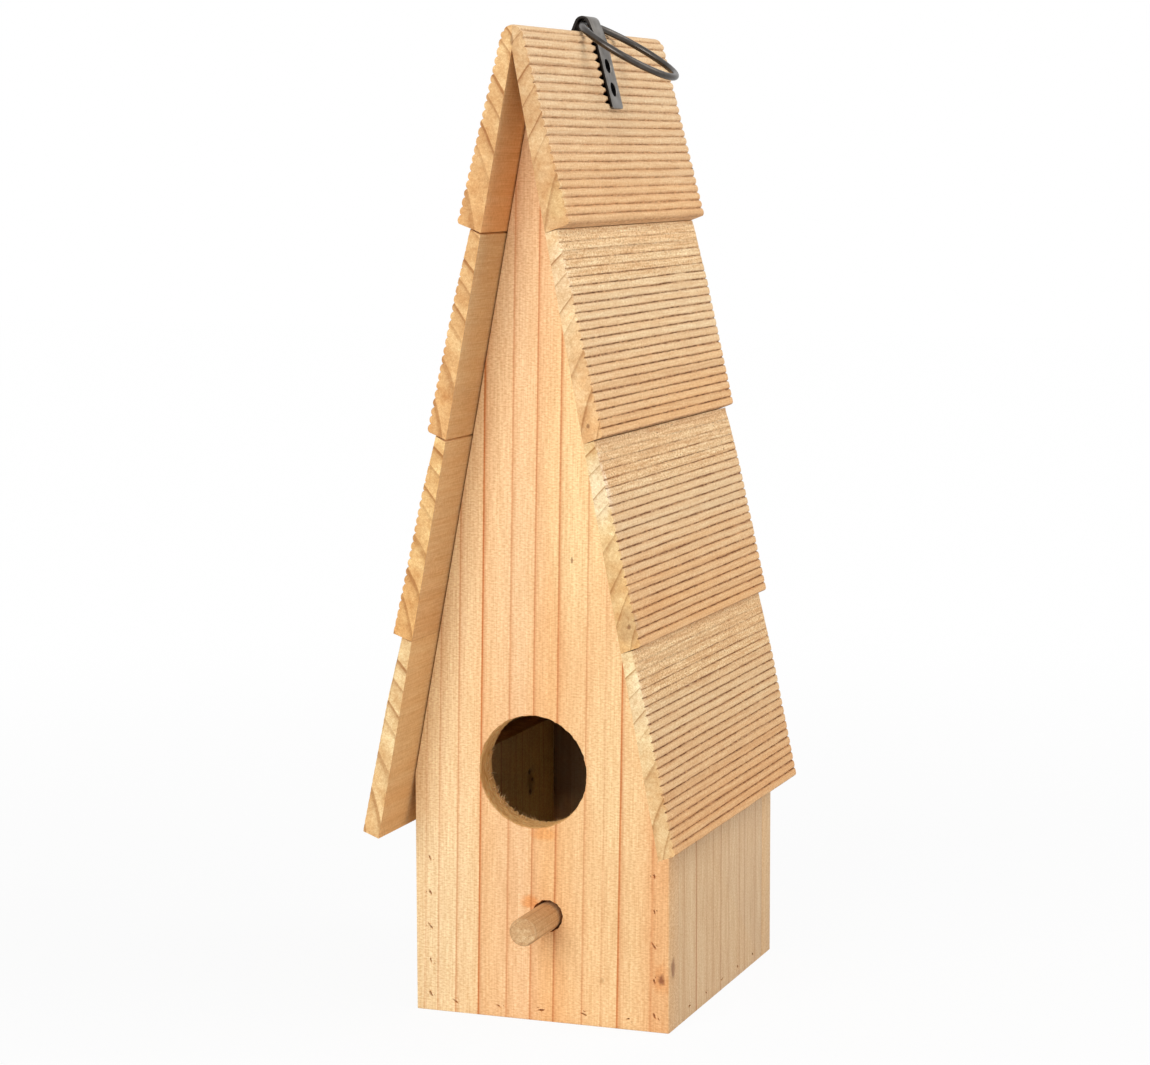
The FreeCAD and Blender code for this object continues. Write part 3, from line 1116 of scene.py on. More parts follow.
@dataclass
class FrontPanel:
    """Front panel with the drilled entrance, the perch's hole and the brads' dents."""

    brads: Brads
    arris: float = 0.4
    entrance_radius: float = 20.0
    entrance_middle: tuple[float, float] = (-2.8, 90.0)
    perch_hole_radius: float = 5.5
    perch_hole_middle: tuple[float, float] = (2.5, 38.5)
    short: float = 2.0
    rim_chamfer: float = 0.3
    rim_raggedness: float = 0.35
    wall_roughness: float = 0.3
    tear_out: float = 1.4
    perch_tear_out: float = 0.2
    dents_below: float = 60.0
    hole_segments: int = 160
    hole_rings: int = 24
    corners: tuple[Vector, Vector] = field(default_factory=lambda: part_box("front_panel"))
    finish: Softwood = Softwood(
        "planed_pine_front_panel", Grain.UP, (500.0, -55.0),
        ring_lines=(54.0, 41.0, 28.6, 22.6, 15.4, 4.4, -4.4, -13.4, -24.0, -32.6, -39.6, -44.6, -52.0),
        ring_vigour=(0.45, 0.95, 0.3, 0.55, 0.8, 0.75, 0.6, 1.0, 0.6, 0.5, 0.3, 0.3),
        lean=math.radians(-1.1), wobble=1.2, late="#cb7a3e", worked_colour="#8f4f2a", fleck=0.26,
        tint_across=((-48.0, "#f4cf9b"), (-38.0, "#f7d6a4"), (-27.0, "#f6d09c"), (-20.0, "#f3c38c"),
                     (-8.0, "#f4c592"), (3.0, "#f2bb7f"), (12.0, "#f4c68e"), (33.0, "#f1c790"),
                     (43.0, "#eab47c")),
        colour_patches=(
            ColourPatch((-12.0, -49.8, 215.0), (30.0, 12.0, 130.0), "#f7d3a1", 0.55, True),
            ColourPatch((0.0, -49.8, 310.0), (30.0, 12.0, 110.0), "#f1cb9c", 0.6, True),
            ColourPatch((16.0, -49.8, 205.0), (17.0, 12.0, 85.0), "#fbdba2", 0.8, True),
            ColourPatch((32.0, -49.8, 105.0), (18.0, 12.0, 60.0), "#f9d9a2", 0.6, True),
            ColourPatch((1.5, -49.8, 68.3), (7.0, 6.0, 3.6), "#ee9c4c", 0.55, True),
            ColourPatch((-4.0, -49.8, 43.2), (4.6, 6.0, 3.4), "#ec9444", 0.65, True),
            ColourPatch((45.0, -48.5, 19.5), (4.5, 6.0, 7.5), "#dd9150", 0.5, True),
            ColourPatch((45.2, -48.5, 19.3), (1.9, 5.0, 2.8), "#8c4e2c", 0.9),
            ColourPatch((12.2, -49.8, 166.0), (0.7, 4.0, 1.6), "#8a5528", 0.7),
            ColourPatch((23.0, -49.8, 17.0), (1.2, 4.0, 1.5), "#b98850", 0.5),
            ColourPatch((48.6, -44.2, 44.0), (1.3, 40.0, 400.0), "#d6b184", 0.9, True),
            ColourPatch((48.2, -45.5, 22.5), (1.6, 3.0, 5.0), "#94643e", 0.85),
        ),
    )

    def build(self) -> None:
        """Builds and dresses the panel."""
        piece = gable_board("planed_front_panel", "front_panel", self.arris, self.short)
        carve(piece, self.drill("entrance", self.entrance_radius, self.entrance_middle, self.tear_out))
        perch_hole = self.drill(
            "perch_hole", self.perch_hole_radius, self.perch_hole_middle, self.perch_tear_out)
        carve(piece, perch_hole)
        outward = Vector((0, -1, 0))
        carve(piece, self.brads.dents({"front_wall_brads": outward, "front_floor_brads": outward}))
        mark_worked(piece, self.worked)
        dress(piece, self.finish.material(), smooth=50.0)
        hand_over(piece, "house", "panel_wood", "front_panel")

    def worked(self, spot: Vector) -> float:
        """How a point of the panel was worked.

        Args:
            spot: point of the panel, metres.

        Returns:
            1 where it was punched, -1 where it was drilled and 0 elsewhere.
        """
        away = Vector((spot.x, spot.z)) / MM - Vector(self.entrance_middle)
        inside = spot.y - self.corners[0].y
        if away.length < self.entrance_radius + self.tear_out + 0.5 and inside > 0.1 * MM:
            return -1.0
        in_rows = abs(spot.x) < self.corners[1].x - MM and spot.z < self.dents_below * MM
        return 1.0 if in_dent(inside) and in_rows else 0.0

    def drill(self, name: str, radius: float, middle: tuple[float, float], tear_out: float) -> Piece:
        """Makes the cutter of a drilled hole: a rough wall, a broken front rim and a torn back rim.

        Args:
            name: name of the hole.
            radius: radius of the hole, mm.
            middle: sideways place and height of the hole, mm.
            tear_out: how far the back rim is torn, mm.

        Returns:
            The cutter.
        """
        low, high = self.corners
        over = 2 * MM
        depth = high.y - low.y + 2 * over
        place = Vector((middle[0] * MM, (low.y + high.y) / 2, middle[1] * MM))
        bpy.ops.object.select_all(action="DESELECT")
        bpy.ops.mesh.primitive_cylinder_add(
            vertices=self.hole_segments, radius=radius * MM, depth=depth, location=place,
            rotation=(math.pi / 2, 0, 0))
        cutter = settle(name)
        divide(cutter, self.hole_rings, lambda mid, way: abs(way.y) > 0.9)
        for vertex in cutter.data.vertices:
            spoke = Vector((vertex.co.x - place.x, 0, vertex.co.z - place.z))
            if spoke.length < radius * MM / 2:
                continue
            inside = (vertex.co.y - low.y) / MM
            through = (high.y - vertex.co.y) / MM
            spot = vertex.co / MM
            bored = noise.fractal(Vector((spot.x * 0.25, spot.y * 1.3, spot.z * 0.25)), 0.8, 2.0, 3)
            fibrous = noise.fractal(Vector((spot.x * 0.9, spot.y * 0.35, spot.z * 0.9)), 0.8, 2.0, 3)
            wall = 0.6 * bored + 0.5 * fibrous
            grown = self.wall_roughness * wall * min(1.0, 0.2 + max(0.0, inside) / 4)
            grown += self.rim_chamfer * max(0.0, 1 - inside / 0.6)
            chipped = wander(spot.x * 0.8, 3.0, spot.z * 0.8)
            grown += self.rim_raggedness * chipped * max(0.0, 1 - max(0.0, inside) / 3)
            torn = max(0.0, wander(spot.x * 0.9, 7.0, spot.z * 0.9))
            grown += tear_out * torn * max(0.0, 1 - through / 2.2)
            vertex.co += spoke.normalized() * grown * MM
        return cutter


@dataclass
class Fray:
    """Loose wood fibres that a drill or a saw left standing at an edge."""

    fibre_width: float = 0.11
    fibre_length: tuple[float, float] = (0.8, 2.6)
    entrance_count: int = 90
    entrance_heading: tuple[float, float] = (222.0, 34.0)
    eave_count: int = 70
    eave_reach: float = 16.0
    splinter_count: int = 12
    seed: int = 11
    finish: Softwood = Softwood(
        "torn_pine_fibre", Grain.UP, (60.0, 20.0), ring_width=3.0, early="#ecd2a6", blush="#dbb07a",
        late="#c08a50", broad=(0.6, 3.0), roughness=(0.7, 0.9))

    def entrance(self, panel: FrontPanel) -> None:
        """Builds the fibres round the back rim of the entrance, thickest at its lower left.

        Args:
            panel: the panel that the entrance is drilled in.
        """
        drawn = random.Random(self.seed)
        back = panel.corners[1].y / MM
        fibres = []
        for _ in range(self.entrance_count):
            turn = math.radians(drawn.gauss(*self.entrance_heading))
            spoke = Vector((math.cos(turn), 0, math.sin(turn)))
            hole = Vector((panel.entrance_middle[0], 0, panel.entrance_middle[1]))
            inside = Vector((0, back - drawn.uniform(0.2, 4.5), 0))
            root = hole + spoke * (panel.entrance_radius + 0.25) + inside
            lean = Vector((drawn.uniform(-0.5, 0.5), drawn.uniform(-0.7, 0.4), drawn.uniform(-0.2, 1.0)))
            fibres.append(self.fibre(root, lean - spoke * drawn.uniform(0.2, 0.9), drawn))
        self.finish_off(fibres, "entrance_fray")

    def eave(self, shape: "BoardShape", front: float) -> None:
        """Builds the fibres along the front lower corner of the right eave board.

        Args:
            shape: section of the board.
            front: front end of the board, mm.
        """
        drawn = random.Random(self.seed + 1)
        fibres = []
        for _ in range(self.eave_count):
            share = drawn.random()
            long = front + 0.3 + self.eave_reach * drawn.random() ** 2.2
            across = shape.inner_foot.lerp(shape.foot, share)
            root = Vector((across.x - 0.5, long, across.y + 0.3))
            lean = Vector((drawn.uniform(-0.4, 0.4), drawn.uniform(0.2, 0.9), drawn.uniform(-0.35, 0.2)))
            fibres.append(self.fibre(root, lean, drawn))
        self.finish_off(fibres, "eave_fray")

    def splinters(self, roof: "Roof") -> None:
        """Builds the few fibres that lie across the ribs of the right-hand boards.

        Args:
            roof: the roof that they lie on.
        """
        drawn = random.Random(self.seed + 2)
        fibres = []
        for tier in range(len(roof.butts)):
            shape = roof.shape(Side.RIGHT, tier)
            for _ in range(self.splinter_count):
                foot = shape.outer(drawn.uniform(5, shape.crown_length - 4), 0.25)
                rise = shape.up * drawn.uniform(-0.7, 0.7) + shape.out * drawn.uniform(0.05, 0.25)
                way = Vector((rise.x, drawn.choice((-1, 1)) * drawn.uniform(0.4, 1.0), rise.y))
                fibres.append(self.fibre(Vector((foot.x, drawn.uniform(-66, 66), foot.y)), way, drawn))
        self.finish_off(fibres, "roof_splinters")

    def fibre(self, root: Vector, way: Vector, drawn: random.Random) -> Piece:
        """Adds one tapered, bent fibre.

        Args:
            root: where it leaves the wood, mm.
            way: direction that it points.
            drawn: source of its length and bend.

        Returns:
            The fibre.
        """
        length = drawn.uniform(*self.fibre_length)
        bpy.ops.object.select_all(action="DESELECT")
        bpy.ops.mesh.primitive_cylinder_add(vertices=4, radius=self.fibre_width * MM, depth=length * MM)
        piece = bpy.context.object
        divide(piece, 3, lambda middle, edge: abs(edge.z) > 0.9)
        bend = drawn.uniform(-0.5, 0.5)
        for vertex in piece.data.vertices:
            along = vertex.co.z / (length * MM) + 0.5
            vertex.co.xy *= 1 - 0.85 * along
            vertex.co.x += bend * along ** 2 * length * MM
            vertex.co.z += 0.5 * length * MM
        piece.rotation_euler = way.to_track_quat("Z", "X").to_euler()
        piece.location = root * MM
        return piece

    def finish_off(self, fibres: list[Piece], name: str) -> None:
        """Joins fibres into one piece and dresses it.

        Args:
            fibres: the single fibres.
            name: name of the piece.
        """
        piece = join(fibres, name)
        dress(piece, self.finish.material())
        hand_over(piece, "house", "panel_wood" if "entrance" in name else "roof_wood")


@dataclass
class Perch:
    """Turned dowel with a sawn end, a little rough to the touch."""

    end_rounding: float = 0.7
    segments: int = 72
    rings: int = 40
    fibre: float = 0.09
    end_fibre: float = 0.16
    end_insets: tuple[float, ...] = (0.8, 0.6, 0.5, 0.4)
    finish: Softwood = Softwood(
        "turned_softwood_dowel", Grain.BACK, (9.0, 30.0), ring_width=2.6, early="#d8b383", blush="#c89969",
        late="#8f5f38", late_strength=0.5, wobble=0.8, streak=0.24, fleck=0.26, end_tint="#e3e3e3",
        broad=(1.2, 30.0), roughness=(0.65, 0.85))

    def build(self) -> None:
        """Builds and dresses the dowel."""
        low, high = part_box("perch_dowel")
        middle = (low + high) / 2
        radius = (high.x - low.x) / 2
        bpy.ops.object.select_all(action="DESELECT")
        bpy.ops.mesh.primitive_cylinder_add(
            vertices=self.segments, radius=radius, depth=high.y - low.y, location=middle,
            rotation=(math.pi / 2, 0, 0))
        piece = settle("turned_perch")
        choose(piece, Pick.FACES, lambda mid, normal: normal.y < -0.9)
        with editing(piece):
            bpy.ops.mesh.bevel(offset=self.end_rounding * MM, segments=3, affect="EDGES")
        choose(piece, Pick.FACES, lambda mid, normal: normal.y < -0.99)
        with editing(piece):
            for share in self.end_insets:
                bpy.ops.mesh.inset(thickness=radius * 0.2 * share)
        divide(piece, self.rings, lambda mid, way: abs(way.y) > 0.99)
        for vertex in piece.data.vertices:
            spot = (vertex.co - middle) / MM
            rough = noise.fractal(Vector((spot.x * 1.2, spot.y * 0.12, spot.z * 1.2)), 0.9, 2.0, 3)
            spoke = Vector((vertex.co.x - middle.x, 0, vertex.co.z - middle.z))
            if vertex.co.y < low.y + self.end_rounding * MM / 2:
                vertex.co.y += abs(rough) * self.end_fibre * MM
            vertex.co -= spoke * (abs(rough) * self.fibre * MM / radius)
        dress(piece, self.finish.material(), smooth=45.0)
        hand_over(piece, "house", "perch_wood", "perch_dowel")


# Roof

@dataclass
class BoardShape:
    """Section of one right-hand roof board in the plane of X and Z, in mm."""

    inner_head: Vector
    inner_foot: Vector
    foot: Vector
    head: Vector
    crown_length: float
    ridge_middle: Vector | None
    ridge_radius: float

    @property
    def length(self) -> float:
        """Length of the outer face, round the ridge where the board has it."""
        if self.ridge_middle is None:
            return self.crown_length
        return self.crown_length + self.ridge_radius * self.ridge_turn

    @property
    def up(self) -> Vector:
        """Direction of the crown line, up the slope."""
        end = self.head if self.ridge_middle is None else self.ridge_touch
        return (end - self.foot).normalized()

    @property
    def out(self) -> Vector:
        """Direction out of the crown line."""
        return Vector((self.up.y, -self.up.x))

    @property
    def ridge_touch(self) -> Vector:
        """Where the crown line runs into the rounded ridge."""
        reach = self.foot - self.ridge_middle
        heading = math.atan2(reach.y, reach.x) + math.acos(self.ridge_radius / reach.length)
        return self.ridge_middle + Vector((math.cos(heading), math.sin(heading))) * self.ridge_radius

    @property
    def ridge_turn(self) -> float:
        """Angle of the rounding from the crown line to the ridge's top."""
        way = self.ridge_touch - self.ridge_middle
        return math.pi / 2 - math.atan2(way.y, way.x)

    def outer(self, run: float, depth: float) -> Vector:
        """Point on the outer face.

        Args:
            run: distance up from the lower edge.
            depth: how far below the crown line.

        Returns:
            The point.
        """
        if run <= self.crown_length or self.ridge_middle is None:
            return self.foot + self.up * run - self.out * depth
        turn = (run - self.crown_length) / self.ridge_radius
        heading = math.atan2(self.out.y, self.out.x) + turn
        spoke = Vector((math.cos(heading), math.sin(heading)))
        return self.ridge_middle + spoke * (self.ridge_radius - depth)


@dataclass(frozen=True)
class BoardTone:
    """Colours of one roof board: its two wood tones, its front end, and the painted shade that darkens its
    underside.
    """

    early: str
    blush: str
    end: str = "#d4c6af"
    # Painted shade that darkens the underside.
    below: str = "#f1ece5"


@dataclass
class Roof:
    """Ribbed, wedge-sawn boards, four a side, butted up the slope and mitred at the ridge."""

    slope: float = math.radians(10.75)
    butts: tuple[float, ...] = (9.6, 7.8, 7.8, 6.7)
    thin_edge: float = 4.0
    butt_rake: float = math.radians(9.0)
    thin_edge_rake: float = math.radians(-6.0)
    joint_closed: float = 0.3
    joint_opened: float = 0.7
    joint_wander: float = 0.2
    ridge_rise: float = 8.1
    ridge_radius: float = 4.7
    rib_pitch: float = 3.05
    rib_depth: float = 0.9
    sawn_depth: float = 1.3
    saw_bite: float = 0.95
    sawn_length: float = 24.0
    samples_per_rib: int = 12
    groove_crowding: float = 0.6
    length_segments: int = 100
    end_rounding: float = 0.35
    flat_crown: float = 4.6
    arch_depth: float = 1.0
    strap_hollow: float = 0.9
    strap_margin: float = 1.5
    # How dark the grooves turn on round and on flat ribs: darker wood and painted shade.
    round_groove_shade: float = 0.5
    flat_groove_shade: float = 0.75
    smooth_foot: float = 12.0
    strap_reach: float = 29.0
    row_crowding: float = 0.7
    row_reach: float = 5.0
    pith_away: tuple[float, ...] = (70.0, 62.0, 54.0, 60.0)
    rib_wear: tuple[float, float] = (0.85, 0.4)
    plain_share: float = 0.12
    saw_unevenness: float = 0.25
    # Where across a rib the groove darkening starts and how far it spreads: darker wood and painted shade.
    round_stain_and_shade: tuple[float, float] = (0.4, 0.55)
    flat_stain_and_shade: tuple[float, float] = (0.58, 0.34)
    # Painted shade under the hanger strap and in the grooves just beside it.
    strap_painted_shade: float = 2.5
    face_wave: float = 0.05
    rib_sway: tuple[float, float] = (0.22, 0.13)
    end_raggedness: float = 0.18
    # Tones of each board; the last colour of each is the painted shade of its underside.
    tones: dict[Side, tuple[BoardTone, ...]] = field(default_factory=lambda: {
        Side.RIGHT: (
            BoardTone("#f0d0a6", "#efc08b", end="#cec4b4"), BoardTone("#f4d6aa", "#eebd86", end="#dcd7cd"),
            BoardTone("#f0cfa2", "#e8b57d", end="#dcdac9"), BoardTone("#ecca9b", "#e4b079", end="#e4eae6")),
        Side.LEFT: (
            BoardTone("#f5d5a8", "#efc08b", below="#f8ecda"),
            BoardTone("#f5d3a4", "#eebd86", below="#e9edeb"),
            BoardTone("#f5d3a4", "#eebd86", "#d8cbaf", "#eae9e2"),
            BoardTone("#f5d8aa", "#eec28c", "#dbd5c6", "#f0e7d8")),
    })
    ridge_crack: ColourPatch = ColourPatch((0.0, -73.2, 344.2), (0.8, 4.0, 2.6), "#7a5230", 0.5)
    right_end_marks: tuple[tuple[ColourPatch, ...], ...] = (
        (ColourPatch((16.0, -73.2, 291.0), (5.0, 4.0, 10.0), "#fbdca6", 0.6, True),),
        (ColourPatch((17.0, -73.2, 266.0), (7.0, 4.0, 16.0), "#fbe0bb", 0.6, True),
         ColourPatch((26.9, -73.2, 215.2), (0.9, 3.0, 1.1), "#8a5c34", 0.8)),
        (ColourPatch((31.0, -73.2, 194.0), (7.0, 4.0, 16.0), "#fbe4c6", 0.9, True),
         ColourPatch((41.5, -73.2, 148.0), (6.0, 4.0, 9.0), "#d3ac81", 0.8, True),
         ColourPatch((41.5, -73.2, 147.5), (0.9, 3.0, 1.2), "#8a5c34", 0.8)),
        (ColourPatch((45.5, -73.2, 122.7), (7.0, 4.0, 14.0), "#fbe0bb", 0.35, True),
         ColourPatch((53.3, -73.2, 76.6), (6.0, 4.0, 12.0), "#e0b888", 0.6, True)),
    )

    def build(self) -> None:
        """Builds and dresses every board."""
        for side in Side:
            for tier in range(len(self.butts)):
                self.board(side, tier)

    def node(self, side: Side, tier: int) -> str:
        """Name of a board's frame node."""
        return f"{side.name.lower()}_roof_board_{tier + 1}"

    def shape(self, side: Side, tier: int) -> BoardShape:
        """Works out a board's section from its frame node.

        Args:
            side: half of the roof.
            tier: 0 for the board at the ridge.

        Returns:
            The section.
        """
        low, high = (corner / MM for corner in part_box(self.node(side, tier)))
        along = Vector((math.sin(self.slope), -math.cos(self.slope)))
        off = Vector((math.cos(self.slope), math.sin(self.slope)))
        is_top = tier == 0
        apex = Vector((0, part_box("left_roof_board_1")[1].z / MM - self.ridge_rise))
        inner_head = apex + along * (min(abs(low.x), abs(high.x)) / math.sin(self.slope))
        inner_foot = inner_head + along * ((inner_head.y - low.z) / math.cos(self.slope))
        if not is_top:
            inner_head -= along * self.joint_closed
        butt = self.butts[tier]
        foot = inner_foot - along * (butt * math.tan(self.butt_rake)) + off * butt
        if is_top:
            ridge_middle = Vector((0, high.z - self.ridge_radius))
            reach = (foot - ridge_middle).length
            crown_length = math.sqrt(reach ** 2 - self.ridge_radius ** 2)
            head = Vector((0, high.z))
            return BoardShape(
                inner_head, inner_foot, foot, head, crown_length, ridge_middle, self.ridge_radius)
        thick = self.thin_edge + self.sawn_depth
        head = inner_head + along * (thick * math.tan(self.thin_edge_rake)) + off * thick
        if side is Side.LEFT and tier in (1, 2):
            inner_head += along * self.joint_opened
        return BoardShape(inner_head, inner_foot, foot, head, (head - foot).length, None, self.ridge_radius)

    def board(self, side: Side, tier: int) -> None:
        """Builds one board.

        Args:
            side: half of the roof.
            tier: 0 for the board at the ridge.
        """
        node = self.node(side, tier)
        shape = self.shape(side, tier)
        low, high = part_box(node)
        piece = add_block("ribbed_" + node, low, high)
        middle = (low + high) / 2
        for vertex in piece.data.vertices:
            outer = (vertex.co.x - middle.x) * side.value > 0
            upper = vertex.co.z > middle.z
            corner = (shape.head if upper else shape.foot) if outer else (
                shape.inner_head if upper else shape.inner_foot)
            vertex.co.x = side.value * corner.x * MM
            vertex.co.z = corner.y * MM
        rib_rows = math.ceil(shape.length / self.rib_pitch)
        chord = (shape.head - shape.foot).normalized()
        square = Vector((chord.y, -chord.x))

        def off_chord(spot: Vector) -> float:
            """Distance of a point from the plain outer face, mm."""
            return (Vector((side.value * spot.x / MM, spot.z / MM)) - shape.foot).dot(square)

        def runs_up(mid: Vector, way: Vector) -> bool:
            """True for an edge of the outer face that runs up the slope."""
            return abs(off_chord(mid)) < ON_FACE and abs(way.y) < 0.5

        divide(piece, self.length_segments - 1, lambda mid, way: abs(way.y) > 0.99)
        divide(piece, rib_rows - 1, runs_up)
        divide(piece, self.samples_per_rib - 1, runs_up)
        self.form_ribs(piece, side, tier, shape, rib_rows, off_chord)
        dress(piece, self.finish(side, tier, shape).material(), smooth=42.0)
        hand_over(piece, "house", "roof_wood", node)

    def form_ribs(self, piece: Piece, side: Side, tier: int, shape: BoardShape, rib_rows: int,
                  off_chord: Callable[[Vector], float]) -> None:
        """Moves the outer face of a plain board into ribs, grooves and the saw cut.

        Args:
            piece: plain board with a divided outer face.
            side: half of the roof.
            tier: 0 for the board at the ridge.
            shape: section of the board.
            rib_rows: rows of samples up the slope, one for each rib.
            off_chord: distance of a point from the plain outer face.
        """
        mesh = piece.data
        samples = rib_rows * self.samples_per_rib
        span = (shape.head - shape.foot).length
        chord = (shape.head - shape.foot) / span
        is_round = side is Side.LEFT or tier == 0
        shade = self.round_groove_shade if is_round else self.flat_groove_shade
        ends = min(v.co.y for v in mesh.vertices), max(v.co.y for v in mesh.vertices)
        strap = [corner.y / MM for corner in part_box("hanger_strap")]
        strap_foot = shape.length - self.strap_reach
        seed = 10.0 * tier + 50.0 * side.value
        least, swings = self.rib_wear
        stain_and_shade_start, stain_and_shade_width = self.round_stain_and_shade if is_round else self.flat_stain_and_shade
        slope = (shape.inner_foot - shape.inner_head).normalized()
        grooves = [0.0] * len(mesh.vertices)
        sawn = [0.0] * len(mesh.vertices)
        for vertex in mesh.vertices:
            flat = Vector((side.value * vertex.co.x / MM, vertex.co.z / MM))
            if abs(off_chord(vertex.co)) > ON_FACE:
                if tier and (flat - shape.inner_head).length < AT_EDGE:
                    moved = slope * self.joint_wander * wander(vertex.co.y / MM / 2.5, seed, 1.0)
                    vertex.co += Vector((side.value * moved.x, 0, moved.y)) * MM
                continue
            sample = round((flat - shape.foot).dot(chord) / span * samples)
            if tier == 0:
                vertex.co.y = self.crowd_rows(vertex.co.y / MM, strap) * MM
            long = vertex.co.y / MM
            rib, run, swing = self.rib_place(sample, samples, shape.length)
            worn = min(1.0, least + swings * wander(long / 17, rib * 3.7, seed))
            if side is Side.LEFT and tier >= 2:
                worn *= min(1.0, run / self.smooth_foot) if tier == 2 else self.plain_share
            depth = self.groove_depth(is_round, worn, swing)
            cut = 0.0
            if tier:
                cut = self.saw_bite * max(0.0, 1 - (shape.length - run) / self.sawn_length)
                cut *= 1 + self.saw_unevenness * wander(long / 11, run / 6, seed + 3)
            # Groove darkening, partly darker wood in the grooves and partly painted shade, wider on the round
            # ribs.
            edge = max(0.0, (swing - stain_and_shade_start) / stain_and_shade_width)
            marks_and_painted_light = edge ** 1.5 * worn * max(0.0, 1 - 0.65 * cut / self.rib_depth)
            grooves[vertex.index] = shade * min(1.0, marks_and_painted_light)
            # Painted shade: under the strap and just beside it the grooves lie hollow and turn near black.
            if tier == 0 and run > strap_foot:
                under = min(long - strap[0], strap[1] - long)
                hollow = min(1.0, max(0.0, under + self.strap_margin)) * max(0.0, swing - 0.35) / 0.65
                depth += self.strap_hollow * hollow
                grooves[vertex.index] += self.strap_painted_shade * (1.0 if under > 0.6 else hollow)
            sawn[vertex.index] = min(1.0, 0.35 + cut / 0.5)
            wave = self.face_wave * (1 + wander(long / 6, run / 2.5, seed + 9))
            from_end = min(vertex.co.y - ends[0], ends[1] - vertex.co.y) / MM
            rounding = self.end_rounding if from_end < AT_EDGE else 0.0
            total = max(depth, cut) + wave + rounding
            sway = self.rib_sway[0] * wander(long / 45, rib * 1.9, seed + 5)
            sway += self.rib_sway[1] * wander(long / 3.5, rib * 2.3, seed + 7)
            free = min(1.0, run / 4, (shape.length - run) / 4)
            spot = shape.outer(run + sway * free, total)
            vertex.co.x = side.value * max(spot.x, 0.0) * MM
            vertex.co.z = spot.y * MM
            if from_end < AT_EDGE:
                ragged = self.end_raggedness * (1 + wander(run * 1.3, seed, 2.0))
                vertex.co.y += math.copysign(ragged * MM, -vertex.co.y)
        for name, values in (("groove", grooves), ("sawn", sawn)):
            mesh.attributes.new(name, "FLOAT", "POINT").data.foreach_set("value", values)

    def rib_place(self, sample: int, samples: int, length: float) -> tuple[int, float, float]:
        """Where a sample of the outer face lies.

        Args:
            sample: its number, from the lower edge up.
            samples: how many the face has.
            length: length of the face, mm.

        Returns:
            Number of its rib, distance up from the lower edge in mm, and how far it is from the rib's
            crown towards a groove, from 0 to 1.
        """
        last_rib = int((math.floor(length / self.rib_pitch - 0.5) + 0.5) * self.samples_per_rib)
        rib, step = divmod(sample, self.samples_per_rib)
        share = step / self.samples_per_rib
        share -= self.groove_crowding * math.sin(2 * math.pi * share) / (2 * math.pi)
        if sample <= last_rib:
            return rib, (rib + share) * self.rib_pitch, abs(2 * share - 1)
        ribbed = last_rib * self.rib_pitch / self.samples_per_rib
        return rib, ribbed + (sample - last_rib) / (samples - last_rib) * (length - ribbed), 0.0

    def groove_depth(self, is_round: bool, worn: float, swing: float) -> float:
        """Depth of a rib's face below the crown line.

        Args:
            is_round: an arc, or else a flat top between narrow grooves.
            worn: share of the full depth.
            swing: how far from the crown towards a groove, from 0 to 1.

        Returns:
            The depth, mm.
        """
        if not is_round:
            return self.rib_depth * worn * swing ** self.flat_crown
        bow = self.rib_pitch / 2 * swing
        arch = (self.rib_pitch ** 2 / 4 + self.arch_depth ** 2) / (2 * self.arch_depth)
        return worn * (arch - math.sqrt(arch ** 2 - bow ** 2))

    def crowd_rows(self, long: float, strap: list[float]) -> float:
        """Draws the rows of points together at the strap's edges, where the grooves lie hollow under it.

        Args:
            long: place along the board, mm.
            strap: places of the strap's two edges along the board, mm.

        Returns:
            The new place, mm.
        """
        for edge in strap:
            away = long - edge
            long -= self.row_crowding * away * math.exp(-(away / self.row_reach) ** 2)
        return long

    def finish(self, side: Side, tier: int, shape: BoardShape) -> Softwood:
        """Wood of one board, with its own pith outside the board at its lower end.

        Args:
            side: half of the roof.
            tier: 0 for the board at the ridge.
            shape: section of the board.

        Returns:
            The finish.
        """
        away = self.pith_away[tier]
        pith = (side.value * (shape.foot.x + away), shape.foot.y - 12.0)
        inward = (-side.value * math.cos(self.slope), 0.0, -math.sin(self.slope))
        tone = self.tones[side][tier]
        marks = self.right_end_marks[tier] if side is Side.RIGHT else ()
        if tier == 0:
            marks += (self.ridge_crack,)
        return Softwood(
            f"ribbed_pine_{side.name.lower()}_{tier + 1}", Grain.BACK, pith, ring_width=7.0,
            early=tone.early, blush=tone.blush, late="#ae7640", heart=(away - 10.0, away + 25.0),
            late_strength=0.85, late_width=0.18 if side is Side.LEFT else 0.09, face_late=0.3,
            end_tint=tone.end, underside=(inward, tone.below), wobble=3.0, broad=(3.2, 130.0),
            ribbed=True, roughness=(0.6, 0.8), colour_patches=marks)


# Hanger

